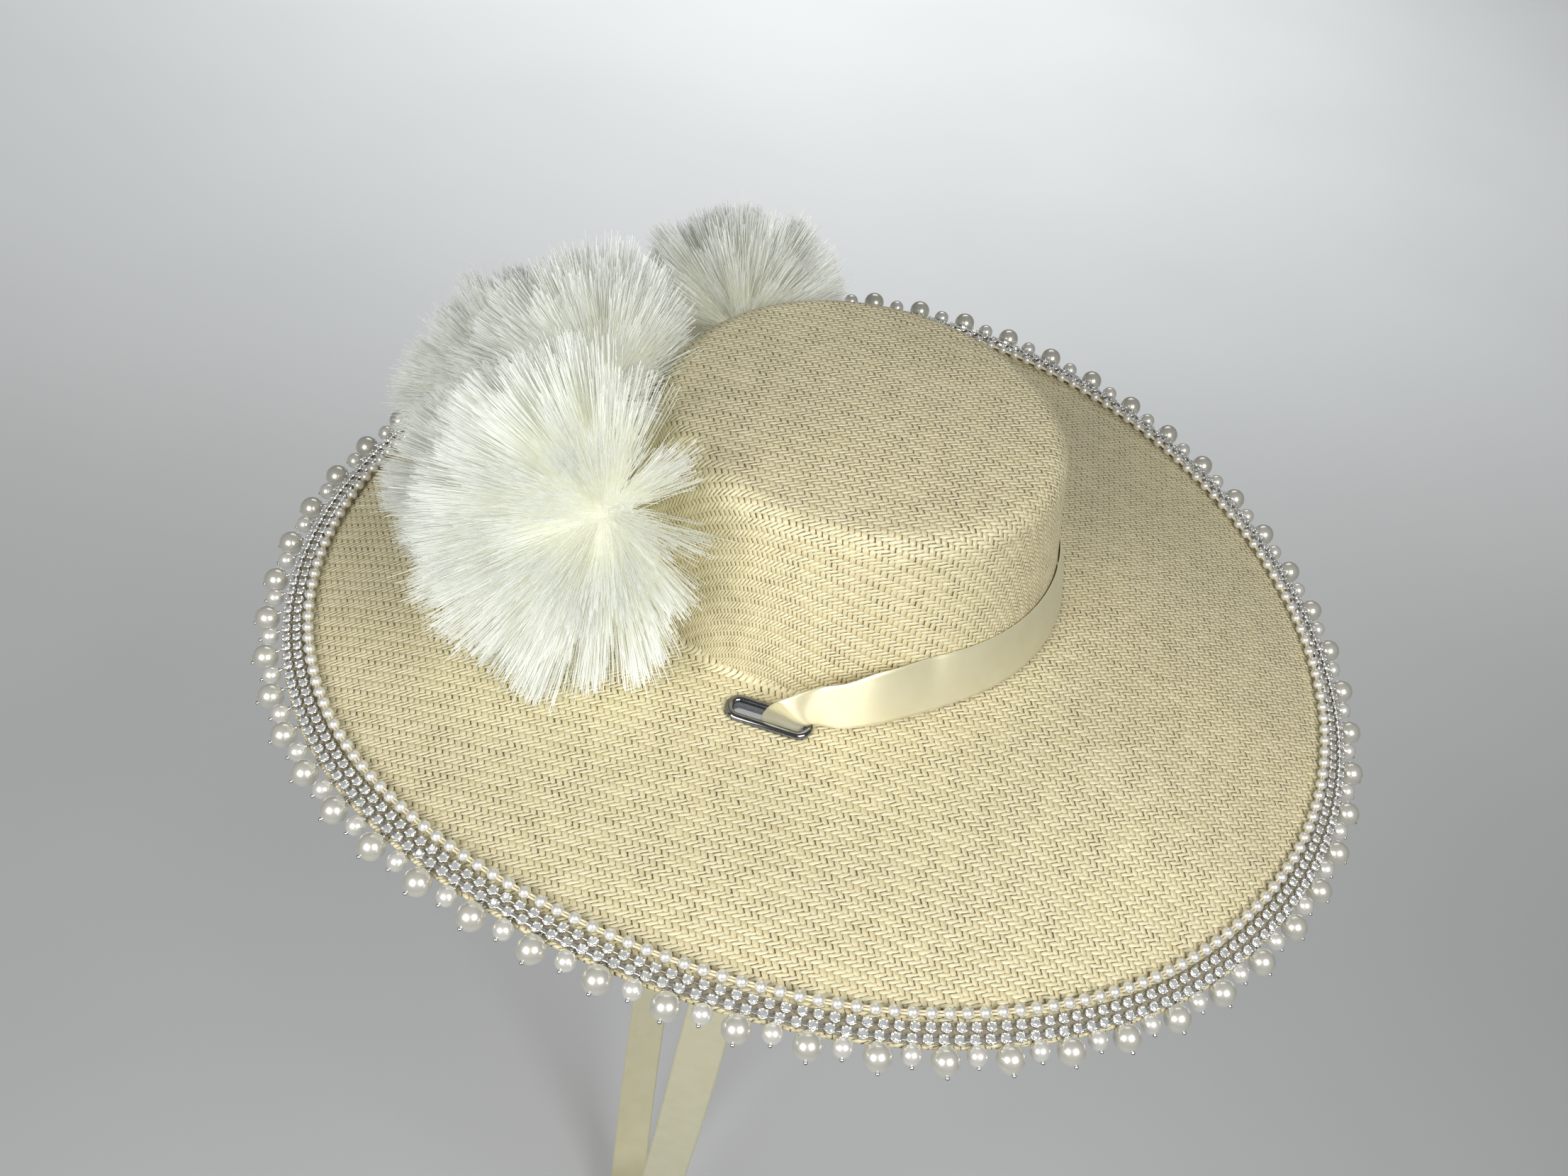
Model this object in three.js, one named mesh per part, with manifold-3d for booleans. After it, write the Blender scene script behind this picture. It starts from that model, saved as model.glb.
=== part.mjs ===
// Wide-brim woven straw hat with a pearl and crystal edge, brush flowers and a satin ribbon tie.
// Millimetres, +Z up. The origin is the middle of the head opening, where crown and brim meet.
// The wearer faces -Y, so +X is the wearer's left.

import * as THREE from 'three';
import { mergeVertices } from 'three/addons/utils/BufferGeometryUtils.js';
import Module from 'manifold-3d';

const wasm = await Module();
wasm.setup();

// Crown: an ellipse at the head opening that narrows evenly to a rounded top edge
const CROWN = {
  halfWidth: 89.3,
  halfLength: 91,
  height: 72,
  dome: 3,
  topScale: 0.856,
  cornerRadius: 10,
};

// Brim: its edge ellipse is set a little to the wearer's left of the crown
const BRIM = {
  edgeHalfWidth: 207.7,
  edgeHalfLength: 220.8,
  edgeCentreX: 9,
  edgeCentreY: 0.5,
  droop: 26,
  droopPower: 1.3,
};

// Waves of the brim's edge: how many crests, how high, and where the first one is
const EDGE_WAVES = [
  { crests: 2, height: 12.7, azimuth: -23 },
  { crests: 3, height: 1.6, azimuth: 73 },
  { crests: 4, height: 1.7, azimuth: 62 },
  { crests: 5, height: 0.8, azimuth: 37 },
];

// One shallow radial dent in the brim, behind the wearer's left ear
const BRIM_DENT = { azimuth: 31, halfAngle: 20, depth: 2.2, startsAt: 0.35 };

// Straw cloth: its wall, its rolled edge, and the rings of the mesh between crown and edge
const STRAW = {
  wall: 1.5,
  edgeRoll: 0.9,
  sides: 40,
  footOutward: 3,
  footHeight: 3,
  filletOutward: 0.9,
  filletHeight: 0.6,
  brimShares: [0.2, 0.4, 0.63, 0.84],
};
const CROWN_SIZE = (CROWN.halfWidth + CROWN.halfLength) / 2;

// Gap between pieces that touch on the real hat
const GAP = 0.35;

// Eyelets: oblong metal rings with rolled rims, one at each side a little in front of the ears
const EYELET = {
  azimuth: -20,
  outward: 12.8,
  straightHalf: 11,
  boreRadius: 2.6,
  barrelRadius: 3.6,
  rimRadius: 5.9,
  rimHeight: 1.9,
  lowerRimRadius: 5.3,
  lowerRimThickness: 0.8,
  lowerRimSlack: 0.15,
  mouthHeight: 0.5,
  crestShares: [0.32, 0.72],
  endSteps: 5,
};

// Ribbon: one loop of satin round the back of the crown, through both eyelets and under the chin
const RIBBON = {
  width: 24,
  widthAtFold: 18.5,
  widthInSlot: 16,
  narrowsFrom: 20,
  thickness: 1,
  liftOffBrim: 1.2,
  crownGap: 3.2,
  upperGap: 2.2,
  flareGap: 8.3,
  flareSpread: 24,
  bandEndsAt: -9,
  slotPivotBack: 13.6,
  foldRadius: 1.6,
  foldLift: 2.2,
  chinDepth: 600,
  chinForward: 6,
  backSteps: 15,
  foldSteps: 5,
  legSteps: 18,
};

// Edge trim: places are measured inwards from the straw edge
const TRIM = {
  bandInner: 8.7,
  bandOuter: 0.9,
  bandHeight: 2.4,
  stringInset: 11.6,
  stringDiameter: 4.5,
  stringSides: 8,
  stringSteps: 60,
  pearlCount: 59,
  pearlDiameter: 10,
  pearlOutset: 6.5,
  pearlLift: 0.4,
  pearlSides: 10,
  pearlBands: 4,
  pearlFacet: 14,
  pearlPhase: 0.7,
  pinRadius: 0.6,
  pinRootInset: 1.6,
  pinRootLift: 1.5,
};

// Satin strip that carries the flowers along the crown's foot
const FLOWER_STRIP = { from: -62, to: -172, bottom: 2.5, top: 21, gap: 0.7, thickness: 1.6, steps: 18 };

// Brush flowers: where each is bound, where it points, how far its locks are turned about that
// line, and how long its fibres are
const FLOWERS = [
  { name: 'flower_1', at: [30, -98, 36], towards: [0.5, -0.8, 0.06], turn: 0, length: 72 },
  { name: 'flower_2', at: [-2, -126, 15], towards: [-0.05, -0.92, 0.38], turn: 14, length: 54 },
  { name: 'flower_3', at: [-30, -99, 42], towards: [-0.2, -0.76, 0.62], turn: 0, length: 60 },
  { name: 'flower_4', at: [-58, -128, 18], towards: [-0.5, -0.78, 0.36], turn: 0, length: 54 },
  { name: 'flower_5', at: [-92, -40, 36], towards: [-0.8, -0.14, 0.58], turn: 0, length: 54 },
];
const FLOWER = {
  headShare: 0.7,
  headSides: 6,
  headShoulder: 0.9,
  bindingLength: 4,
  spread: 80,
  rings: [
    { locks: 5, tilt: 67, turn: 0 },
    { locks: 3, tilt: 26, turn: 25 },
  ],
  tiltSteps: [-3, 3, 0],
  lockRootShare: 0.3,
  lockTipShare: 0.9,
  lockRoot: { wide: 9, thick: 6 },
  lockTip: { wide: 19, thick: 11.5 },
};

const UP = new THREE.Vector3(0, 0, 1);

// Shared helpers

function radians(degrees) {
  return THREE.MathUtils.degToRad(degrees);
}

function mix(from, to, share) {
  return from + (to - from) * share;
}

function bodyFromTriangles(positions, indices) {
  const geometry = new THREE.BufferGeometry();
  geometry.setAttribute('position', new THREE.Float32BufferAttribute(positions, 3));
  geometry.setIndex(signedVolume(positions, indices) < 0 ? flipped(indices) : indices);
  return geometry;
}

function signedVolume(positions, indices) {
  let volume = 0;
  const corner = [new THREE.Vector3(), new THREE.Vector3(), new THREE.Vector3()];
  for (let i = 0; i < indices.length; i += 3) {
    corner.forEach((point, k) => point.fromArray(positions, indices[i + k] * 3));
    volume += corner[0].dot(corner[1].cross(corner[2]));
  }
  return volume;
}

function flipped(indices) {
  const turned = [];
  for (let i = 0; i < indices.length; i += 3) {
    turned.push(indices[i], indices[i + 2], indices[i + 1]);
  }
  return turned;
}

// Rings of points from one pole to the other
function poleToPoleSolid(firstPole, rings, lastPole) {
  const points = [firstPole, ...rings.flat(), lastPole];
  const sides = rings[0].length;
  const indices = [];
  const index = (ring, side) => 1 + ring * sides + (side % sides);
  for (let side = 0; side < sides; side++) {
    indices.push(0, index(0, side), index(0, side + 1));
    indices.push(points.length - 1, index(rings.length - 1, side + 1), index(rings.length - 1, side));
    for (let ring = 0; ring < rings.length - 1; ring++) {
      indices.push(index(ring, side), index(ring + 1, side), index(ring + 1, side + 1));
      indices.push(index(ring, side), index(ring + 1, side + 1), index(ring, side + 1));
    }
  }
  return bodyFromTriangles(points.flatMap((point) => point.toArray()), indices);
}

// Sections that follow each other round a closed loop
function loopSolid(sections) {
  const sides = sections[0].length;
  const indices = [];
  const index = (section, side) => (section % sections.length) * sides + (side % sides);
  for (let section = 0; section < sections.length; section++) {
    for (let side = 0; side < sides; side++) {
      indices.push(index(section, side), index(section + 1, side), index(section + 1, side + 1));
      indices.push(index(section, side), index(section + 1, side + 1), index(section, side + 1));
    }
  }
  return bodyFromTriangles(sections.flat().flatMap((point) => point.toArray()), indices);
}

// Sections that follow each other from one flat end to the other
function cappedSolid(sections) {
  const sides = sections[0].length;
  const last = (sections.length - 1) * sides;
  const indices = [];
  const index = (section, side) => section * sides + (side % sides);
  for (let section = 0; section < sections.length - 1; section++) {
    for (let side = 0; side < sides; side++) {
      indices.push(index(section, side), index(section + 1, side), index(section + 1, side + 1));
      indices.push(index(section, side), index(section + 1, side + 1), index(section, side + 1));
    }
  }
  for (let side = 1; side < sides - 1; side++) {
    indices.push(0, side, side + 1);
    indices.push(last, last + side + 1, last + side);
  }
  return bodyFromTriangles(sections.flat().flatMap((point) => point.toArray()), indices);
}

function toSolid(geometry) {
  const bare = geometry.clone();
  bare.deleteAttribute('normal');
  bare.deleteAttribute('uv');
  const merged = mergeVertices(bare, 1e-4);
  return new wasm.Manifold(new wasm.Mesh({
    numProp: 3,
    vertProperties: new Float32Array(merged.attributes.position.array),
    triVerts: new Uint32Array(merged.index.array),
  }));
}

function toGeometry(solid) {
  const mesh = solid.getMesh();
  const geometry = new THREE.BufferGeometry();
  geometry.setAttribute('position', new THREE.Float32BufferAttribute(mesh.vertProperties, 3));
  geometry.setIndex([...mesh.triVerts]);
  return geometry;
}

function namedMesh(name, geometry, material) {
  geometry.computeVertexNormals();
  const mesh = new THREE.Mesh(geometry, material);
  mesh.name = name;
  return mesh;
}

// Shape of the hat: crown wall and brim

function crownScale(height) {
  return mix(1, CROWN.topScale, height / CROWN.height);
}

function crownPoint(theta, scale, height) {
  const x = CROWN.halfWidth * scale * Math.cos(theta);
  const y = CROWN.halfLength * scale * Math.sin(theta);
  return new THREE.Vector3(x, y, height);
}

function edgePoint(theta) {
  const x = BRIM.edgeCentreX + BRIM.edgeHalfWidth * Math.cos(theta);
  const y = BRIM.edgeCentreY + BRIM.edgeHalfLength * Math.sin(theta);
  return new THREE.Vector3(x, y, 0);
}

function brimReach(theta) {
  return edgePoint(theta).distanceTo(crownPoint(theta, 1, 0));
}

function edgeWave(theta) {
  let height = 0;
  for (const wave of EDGE_WAVES) {
    height += wave.height * Math.cos(wave.crests * (theta - radians(wave.azimuth)));
  }
  return height;
}

function dentDepth(theta, share) {
  const turn = THREE.MathUtils.euclideanModulo(theta - radians(BRIM_DENT.azimuth) + Math.PI, 2 * Math.PI);
  const away = Math.abs(turn - Math.PI) / radians(BRIM_DENT.halfAngle);
  if (away >= 1) {
    return 0;
  }
  const outward = THREE.MathUtils.smoothstep(share, BRIM_DENT.startsAt, 1);
  return BRIM_DENT.depth * outward * Math.cos(away * Math.PI / 2) ** 2;
}

// Top face of the brim, a distance outward from the crown's foot
function brimPoint(theta, outward) {
  const share = outward / brimReach(theta);
  const point = crownPoint(theta, 1, 0).lerp(edgePoint(theta), share);
  const droop = BRIM.droop * Math.max(share, 0) ** BRIM.droopPower;
  point.z = -droop + edgeWave(theta) * share * share - dentDepth(theta, share);
  return point;
}

// Place and directions on the brim's top face: outwards, along the edge, and off the face
function brimFrame(theta, outward) {
  const step = 0.5;
  const angleStep = 0.01;
  const origin = brimPoint(theta, outward);
  const out = brimPoint(theta, outward + step).sub(brimPoint(theta, outward - step)).normalize();
  const along = brimPoint(theta + angleStep, outward).sub(brimPoint(theta - angleStep, outward));
  const normal = new THREE.Vector3().crossVectors(out, along).normalize();
  along.crossVectors(normal, out);
  return { origin, out, along, normal };
}

function placeInFrame(frame, out, along, lift) {
  return frame.origin.clone()
    .addScaledVector(frame.out, out)
    .addScaledVector(frame.along, along)
    .addScaledVector(frame.normal, lift);
}

function around(pointAt, sides) {
  return Array.from({ length: sides }, (_, side) => pointAt(2 * Math.PI * side / sides));
}

// Angles that divide a curve round the hat into equal lengths
function evenAngles(pointAt, count) {
  const samples = 1440;
  const lengths = [0];
  for (let i = 1; i <= samples; i++) {
    const from = pointAt(2 * Math.PI * (i - 1) / samples);
    const to = pointAt(2 * Math.PI * i / samples);
    lengths.push(lengths[i - 1] + from.distanceTo(to));
  }
  const total = lengths[samples];
  return Array.from({ length: count }, (_, k) => {
    const wanted = total * k / count;
    const i = Math.max(1, lengths.findIndex((length) => length >= wanted));
    const share = (wanted - lengths[i - 1]) / (lengths[i] - lengths[i - 1]);
    return 2 * Math.PI * (i - 1 + share) / samples;
  });
}

// Woven straw body: crown and brim blocked in one piece of cloth

function crownRing(scale, height) {
  return around((theta) => crownPoint(theta, scale, height), STRAW.sides);
}

// Rings from the top of the crown down its wall, on a face that lies inside the outer one
function crownRings(inside, dome, cornerTurns) {
  const corner = CROWN.cornerRadius - inside;
  const cornerFoot = CROWN.height - CROWN.cornerRadius;
  const wallScale = (height) => crownScale(height) - inside / CROWN_SIZE;
  const flatScale = wallScale(cornerFoot) - corner / CROWN_SIZE;
  const rings = [];
  for (const share of dome) {
    rings.push(crownRing(flatScale * share, CROWN.height - inside + CROWN.dome * (1 - share * share)));
  }
  for (const turn of cornerTurns) {
    const scale = wallScale(cornerFoot) - (corner / CROWN_SIZE) * (1 - Math.cos(radians(turn)));
    rings.push(crownRing(scale, cornerFoot + corner * Math.sin(radians(turn))));
  }
  rings.push(crownRing(wallScale(cornerFoot / 2), cornerFoot / 2));
  return rings;
}

function footRing(drop) {
  return around((theta) => {
    const point = brimPoint(theta, STRAW.footOutward);
    point.z -= drop;
    return point;
  }, STRAW.sides);
}

function edgeRing(outset, drop) {
  return around((theta) => {
    const point = brimPoint(theta, brimReach(theta) + outset);
    point.z = brimPoint(theta, brimReach(theta)).z - drop;
    return point;
  }, STRAW.sides);
}

// Rings across the brim from the crown's foot outwards, on a face that lies below the top one
function brimRings(drop) {
  return STRAW.brimShares.map((share) => around((theta) => {
    const point = brimPoint(theta, brimReach(theta) * share);
    point.z -= drop;
    return point;
  }, STRAW.sides));
}

function strawBody() {
  const top = [
    ...crownRings(0, [0.4, 0.75], [90, 60, 30, 0]),
    crownRing(crownScale(STRAW.footHeight), STRAW.footHeight),
    crownRing(1 + STRAW.filletOutward / CROWN_SIZE, STRAW.filletHeight),
    footRing(0),
    ...brimRings(0),
    edgeRing(0, 0),
  ];
  const lip = [edgeRing(STRAW.edgeRoll, STRAW.wall / 2)];
  const under = [
    edgeRing(0, STRAW.wall),
    ...brimRings(STRAW.wall).reverse(),
    footRing(STRAW.wall),
    crownRing(1 - STRAW.wall / CROWN_SIZE, -STRAW.wall / 2),
    ...crownRings(STRAW.wall, [0.6], [90, 45, 0]).reverse(),
  ];
  const topPole = new THREE.Vector3(0, 0, CROWN.height + CROWN.dome);
  const underPole = new THREE.Vector3(0, 0, CROWN.height + CROWN.dome - STRAW.wall);
  let solid = toSolid(poleToPoleSolid(topPole, [...top, ...lip, ...under], underPole));
  for (const frame of eyeletFrames()) {
    solid = solid.subtract(toSolid(slotCutter(frame)));
  }
  return toGeometry(solid);
}

// The space that the straw fills, with its gap, for cutting what lies on it
function strawSpace() {
  const skirtDrop = 60;
  const base = -100;
  const rings = [
    ...crownRings(-GAP, [0.6], [90, 60, 30, 0]),
    crownRing(1 + (STRAW.filletOutward + GAP) / CROWN_SIZE, STRAW.filletHeight + GAP),
    footRing(-GAP),
    ...brimRings(-GAP),
    edgeRing(0, -GAP),
    edgeRing(STRAW.edgeRoll, skirtDrop),
  ];
  const topPole = new THREE.Vector3(0, 0, CROWN.height + CROWN.dome + GAP);
  return poleToPoleSolid(topPole, rings, new THREE.Vector3(0, 0, base));
}

// Eyelets

function eyeletFrames() {
  const near = brimFrame(radians(EYELET.azimuth), EYELET.outward);
  const far = brimFrame(radians(180 - EYELET.azimuth), EYELET.outward);
  return [near, far];
}

// Outline of an oblong with round ends, a distance off its straight middle line
function oblong(offset) {
  const outline = [];
  for (const end of [1, -1]) {
    for (let step = 0; step <= EYELET.endSteps; step++) {
      const turn = Math.PI * (step / EYELET.endSteps - 0.5);
      const along = end * (EYELET.straightHalf + offset * Math.cos(turn));
      outline.push({ along, out: end * offset * Math.sin(turn) });
    }
  }
  return outline;
}

function slotCutter(frame) {
  const outline = oblong(EYELET.barrelRadius + GAP);
  const above = 6;
  return cappedSolid([above, -above].map((lift) => (
    outline.map(({ along, out }) => placeInFrame(frame, out, along, lift))
  )));
}

function eyelet(frame) {
  const underside = -STRAW.wall - GAP - EYELET.lowerRimSlack;
  const crest = EYELET.crestShares.map((share) => mix(EYELET.boreRadius, EYELET.rimRadius, share));
  const profile = [
    { offset: EYELET.boreRadius, lift: underside - EYELET.lowerRimThickness },
    { offset: EYELET.boreRadius, lift: GAP + EYELET.mouthHeight },
    { offset: crest[0], lift: GAP + EYELET.rimHeight },
    { offset: crest[1], lift: GAP + EYELET.rimHeight },
    { offset: EYELET.rimRadius, lift: GAP },
    { offset: EYELET.barrelRadius, lift: GAP },
    { offset: EYELET.barrelRadius, lift: underside },
    { offset: EYELET.lowerRimRadius, lift: underside },
    { offset: EYELET.lowerRimRadius, lift: underside - EYELET.lowerRimThickness },
  ];
  const outlines = profile.map(({ offset, lift }) => (
    oblong(offset).map(({ along, out }) => placeInFrame(frame, out, along, lift))
  ));
  const stations = outlines[0].map((_, station) => outlines.map((outline) => outline[station]));
  return loopSolid(stations);
}

// Satin ribbon, as the two edges of the strip at each station, for the wearer's left half

function ribbonBandStation(azimuth) {
  const theta = radians(azimuth);
  const full = THREE.MathUtils.smoothstep(azimuth, RIBBON.bandEndsAt, RIBBON.narrowsFrom);
  const width = mix(RIBBON.widthAtFold, RIBBON.width, full);
  const fromSlot = (azimuth - EYELET.azimuth) / RIBBON.flareSpread;
  const lowerGap = RIBBON.crownGap + RIBBON.flareGap * Math.exp(-fromSlot * fromSlot);
  const lower = brimPoint(theta, lowerGap);
  lower.z += RIBBON.liftOffBrim;
  const wall = crownPoint(theta, crownScale(width), 0);
  const reach = Math.hypot(wall.x, wall.y) + RIBBON.upperGap;
  const upper = wall.multiplyScalar(reach / wall.length());
  const across = Math.hypot(lower.x - upper.x, lower.y - upper.y);
  upper.z = lower.z + Math.sqrt(width ** 2 - across ** 2);
  return { lower, upper };
}

// The strip turns down into the eyelet about the slot's rear end
function ribbonFoldStations() {
  const [frame] = eyeletFrames();
  const start = ribbonBandStation(RIBBON.bandEndsAt);
  const pivot = placeInFrame(frame, 0, RIBBON.slotPivotBack, RIBBON.foldLift);
  const firstSpan = start.upper.clone().sub(start.lower).normalize();
  const lastSpan = frame.along.clone().negate();
  const stations = [];
  for (let step = 0; step <= RIBBON.foldSteps; step++) {
    const share = step / RIBBON.foldSteps;
    const span = firstSpan.clone().multiplyScalar(Math.cos(share * Math.PI / 2))
      .addScaledVector(lastSpan, Math.sin(share * Math.PI / 2)).normalize();
    const width = mix(RIBBON.widthAtFold, RIBBON.widthInSlot, share);
    const lower = pivot.clone().addScaledVector(span, RIBBON.foldRadius);
    stations.push({ lower, upper: lower.clone().addScaledVector(span, width) });
  }
  return stations;
}

// The leg hangs from the slot to the middle of the chin loop as a quarter of an oval
function ribbonLegStations() {
  const fold = ribbonFoldStations();
  const slot = fold[fold.length - 1];
  const middle = slot.lower.clone().lerp(slot.upper, 0.5);
  const slotSpan = slot.upper.clone().sub(slot.lower).normalize();
  const chinSpan = new THREE.Vector3(0, -1, 0);
  const stations = [];
  for (let step = 1; step <= RIBBON.legSteps; step++) {
    const share = step / RIBBON.legSteps;
    const turn = share * Math.PI / 2;
    const centre = new THREE.Vector3(
      middle.x * Math.cos(turn),
      middle.y - RIBBON.chinForward * share,
      middle.z - RIBBON.chinDepth * Math.sin(turn),
    );
    const span = slotSpan.clone().lerp(chinSpan, share).normalize();
    const width = mix(RIBBON.widthInSlot, RIBBON.width, THREE.MathUtils.smoothstep(share, 0, 0.3));
    stations.push({
      lower: centre.clone().addScaledVector(span, -width / 2),
      upper: centre.clone().addScaledVector(span, width / 2),
    });
  }
  return stations;
}

function mirrored({ lower, upper }) {
  const mirror = new THREE.Vector3(-1, 1, 1);
  return { lower: lower.clone().multiply(mirror), upper: upper.clone().multiply(mirror) };
}

function ribbonStations() {
  const back = [];
  for (let step = 0; step < RIBBON.backSteps; step++) {
    back.push(ribbonBandStation(mix(90, RIBBON.bandEndsAt, step / RIBBON.backSteps)));
  }
  const half = [...back, ...ribbonFoldStations(), ...ribbonLegStations()];
  const otherHalf = half.slice(1, -1).reverse().map(mirrored);
  return [...half, ...otherHalf];
}

function satinRibbon() {
  const stations = ribbonStations();
  const middles = stations.map(({ lower, upper }) => lower.clone().lerp(upper, 0.5));
  const count = stations.length;
  const sections = stations.map(({ lower, upper }, i) => {
    const travel = middles[(i + 1) % count].clone().sub(middles[(i + count - 1) % count]);
    const span = upper.clone().sub(lower);
    const normal = new THREE.Vector3().crossVectors(span, travel).normalize();
    const half = RIBBON.thickness / 2;
    return [
      lower.clone().addScaledVector(normal, half),
      upper.clone().addScaledVector(normal, half),
      upper.clone().addScaledVector(normal, -half),
      lower.clone().addScaledVector(normal, -half),
    ];
  });
  return loopSolid(sections);
}

// Edge trim

function trimPlace(theta, inset, lift) {
  return placeInFrame(brimFrame(theta, brimReach(theta) - inset), 0, 0, lift);
}

// Pearls hang beside the band's joints, so each pin meets one flat of the band
function pearlAngles() {
  const pearlLine = (theta) => trimPlace(theta, -TRIM.pearlOutset, TRIM.pearlLift);
  const shift = 2 * Math.PI * TRIM.pearlPhase / TRIM.pearlCount;
  return evenAngles((theta) => pearlLine(theta + shift), TRIM.pearlCount).map((theta) => theta + shift);
}

function trimBand() {
  const angles = evenAngles((theta) => trimPlace(theta, TRIM.bandOuter, 0), TRIM.pearlCount);
  const slope = 0.6;
  const sections = angles.map((theta) => [
    trimPlace(theta, TRIM.bandInner, GAP),
    trimPlace(theta, TRIM.bandInner - slope, TRIM.bandHeight),
    trimPlace(theta, TRIM.bandOuter + slope, TRIM.bandHeight),
    trimPlace(theta, TRIM.bandOuter, GAP),
  ]);
  return toSolid(loopSolid(sections));
}

function facetDirection(geometry, facet) {
  const sum = new THREE.Vector3();
  for (const corner of [0, 1, 2]) {
    const vertex = geometry.index.getX(facet * 3 + corner);
    sum.add(new THREE.Vector3().fromBufferAttribute(geometry.attributes.position, vertex));
  }
  return sum.normalize();
}

// One round pearl, turned so that its pin meets the middle of a facet
function pearl(theta) {
  const centre = trimPlace(theta, -TRIM.pearlOutset, TRIM.pearlLift);
  const root = trimPlace(theta, TRIM.pinRootInset, TRIM.pinRootLift);
  const geometry = new THREE.SphereGeometry(TRIM.pearlDiameter / 2, TRIM.pearlSides, TRIM.pearlBands);
  const line = root.sub(centre).normalize();
  const facet = facetDirection(geometry, TRIM.pearlFacet);
  geometry.applyQuaternion(new THREE.Quaternion().setFromUnitVectors(facet, line));
  geometry.translate(centre.x, centre.y, centre.z);
  return toSolid(geometry);
}

function pearlPin(theta) {
  const centre = trimPlace(theta, -TRIM.pearlOutset, TRIM.pearlLift);
  const root = trimPlace(theta, TRIM.pinRootInset, TRIM.pinRootLift);
  const line = centre.clone().sub(root).normalize();
  const side = new THREE.Vector3().crossVectors(line, UP).normalize();
  const rise = new THREE.Vector3().crossVectors(side, line);
  const corners = [90, 210, 330].map((turn) => (
    side.clone().multiplyScalar(TRIM.pinRadius * Math.cos(radians(turn)))
      .addScaledVector(rise, TRIM.pinRadius * Math.sin(radians(turn)))
  ));
  return toSolid(cappedSolid([root, centre].map((end) => corners.map((corner) => end.clone().add(corner)))));
}

function pearlFringe() {
  let solid = trimBand();
  for (const theta of pearlAngles()) {
    solid = solid.add(pearlPin(theta)).add(pearl(theta));
  }
  return toGeometry(solid);
}

function pearlString() {
  const radius = TRIM.stringDiameter / 2;
  const lift = GAP + radius;
  const angles = evenAngles((theta) => trimPlace(theta, TRIM.stringInset, lift), TRIM.stringSteps);
  const sections = angles.map((theta) => {
    const frame = brimFrame(theta, brimReach(theta) - TRIM.stringInset);
    return around((turn) => (
      placeInFrame(frame, radius * Math.cos(turn), 0, lift + radius * Math.sin(turn))
    ), TRIM.stringSides);
  });
  return loopSolid(sections);
}

// Flowers

// A strip along the crown's wall, between two angles, two heights and two distances off the wall
function wallStrip(azimuths, heights, offsets) {
  const sections = [];
  for (let step = 0; step <= FLOWER_STRIP.steps; step++) {
    const theta = radians(mix(azimuths[0], azimuths[1], step / FLOWER_STRIP.steps));
    const corner = (height, offset) => {
      const wall = crownPoint(theta, crownScale(height), height);
      const out = new THREE.Vector3(wall.x, wall.y, 0).normalize();
      return wall.addScaledVector(out, offset);
    };
    sections.push([
      corner(heights[0], offsets[0]),
      corner(heights[1], offsets[0]),
      corner(heights[1], offsets[1]),
      corner(heights[0], offsets[1]),
    ]);
  }
  return cappedSolid(sections);
}

function flowerStrip() {
  const { from, to, bottom, top, gap, thickness } = FLOWER_STRIP;
  return wallStrip([from, to], [bottom, top], [gap, gap + thickness]);
}

// The strip with its gap, for cutting the flowers that lie on it
function flowerStripSpace() {
  const { from, to, top, gap, thickness } = FLOWER_STRIP;
  const endSlack = 1;
  return wallStrip([from + endSlack, to - endSlack], [-GAP, top + GAP], [0, gap + thickness + GAP]);
}

function aimed(geometry, flower) {
  const aim = new THREE.Vector3(...flower.towards).normalize();
  geometry.applyQuaternion(new THREE.Quaternion().setFromUnitVectors(UP, aim));
  geometry.translate(...flower.at);
  return toSolid(geometry);
}

// Head: a dome that opens from the binding, along +Z before it is aimed
function flowerHead(flower) {
  const reach = flower.length * FLOWER.headShare;
  const ringAt = (tilt, distance) => around((turn) => {
    const out = distance * Math.sin(radians(tilt));
    return new THREE.Vector3(out * Math.cos(turn), out * Math.sin(turn), distance * Math.cos(radians(tilt)));
  }, FLOWER.headSides);
  const rings = [
    ringAt(FLOWER.spread, reach * FLOWER.headShoulder),
    ringAt(FLOWER.spread / 2, reach),
  ];
  const binding = new THREE.Vector3(0, 0, -FLOWER.bindingLength);
  return poleToPoleSolid(binding, rings, new THREE.Vector3(0, 0, reach));
}

// Lock: a bundle of fibres that widens to its cut end
function flowerLock(flower, tilt, turn) {
  const axis = new THREE.Vector3(0, 0, 1);
  axis.applyAxisAngle(new THREE.Vector3(0, 1, 0), radians(tilt)).applyAxisAngle(UP, turn);
  const side = new THREE.Vector3(-Math.sin(turn), Math.cos(turn), 0);
  const rise = new THREE.Vector3().crossVectors(axis, side);
  const section = (distance, half) => [[1, 1], [-1, 1], [-1, -1], [1, -1]].map(([across, up]) => (
    axis.clone().multiplyScalar(distance)
      .addScaledVector(side, across * half.wide)
      .addScaledVector(rise, up * half.thick)
  ));
  return cappedSolid([
    section(flower.length * FLOWER.lockRootShare, FLOWER.lockRoot),
    section(flower.length * FLOWER.lockTipShare, FLOWER.lockTip),
  ]);
}

function flowerSolid(flower) {
  let solid = aimed(flowerHead(flower), flower);
  for (const ring of FLOWER.rings) {
    for (let k = 0; k < ring.locks; k++) {
      const tilt = ring.tilt + FLOWER.tiltSteps[k % FLOWER.tiltSteps.length];
      const turn = radians(ring.turn + flower.turn + 360 * k / ring.locks);
      solid = solid.add(aimed(flowerLock(flower, tilt, turn), flower));
    }
  }
  return solid;
}

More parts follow.
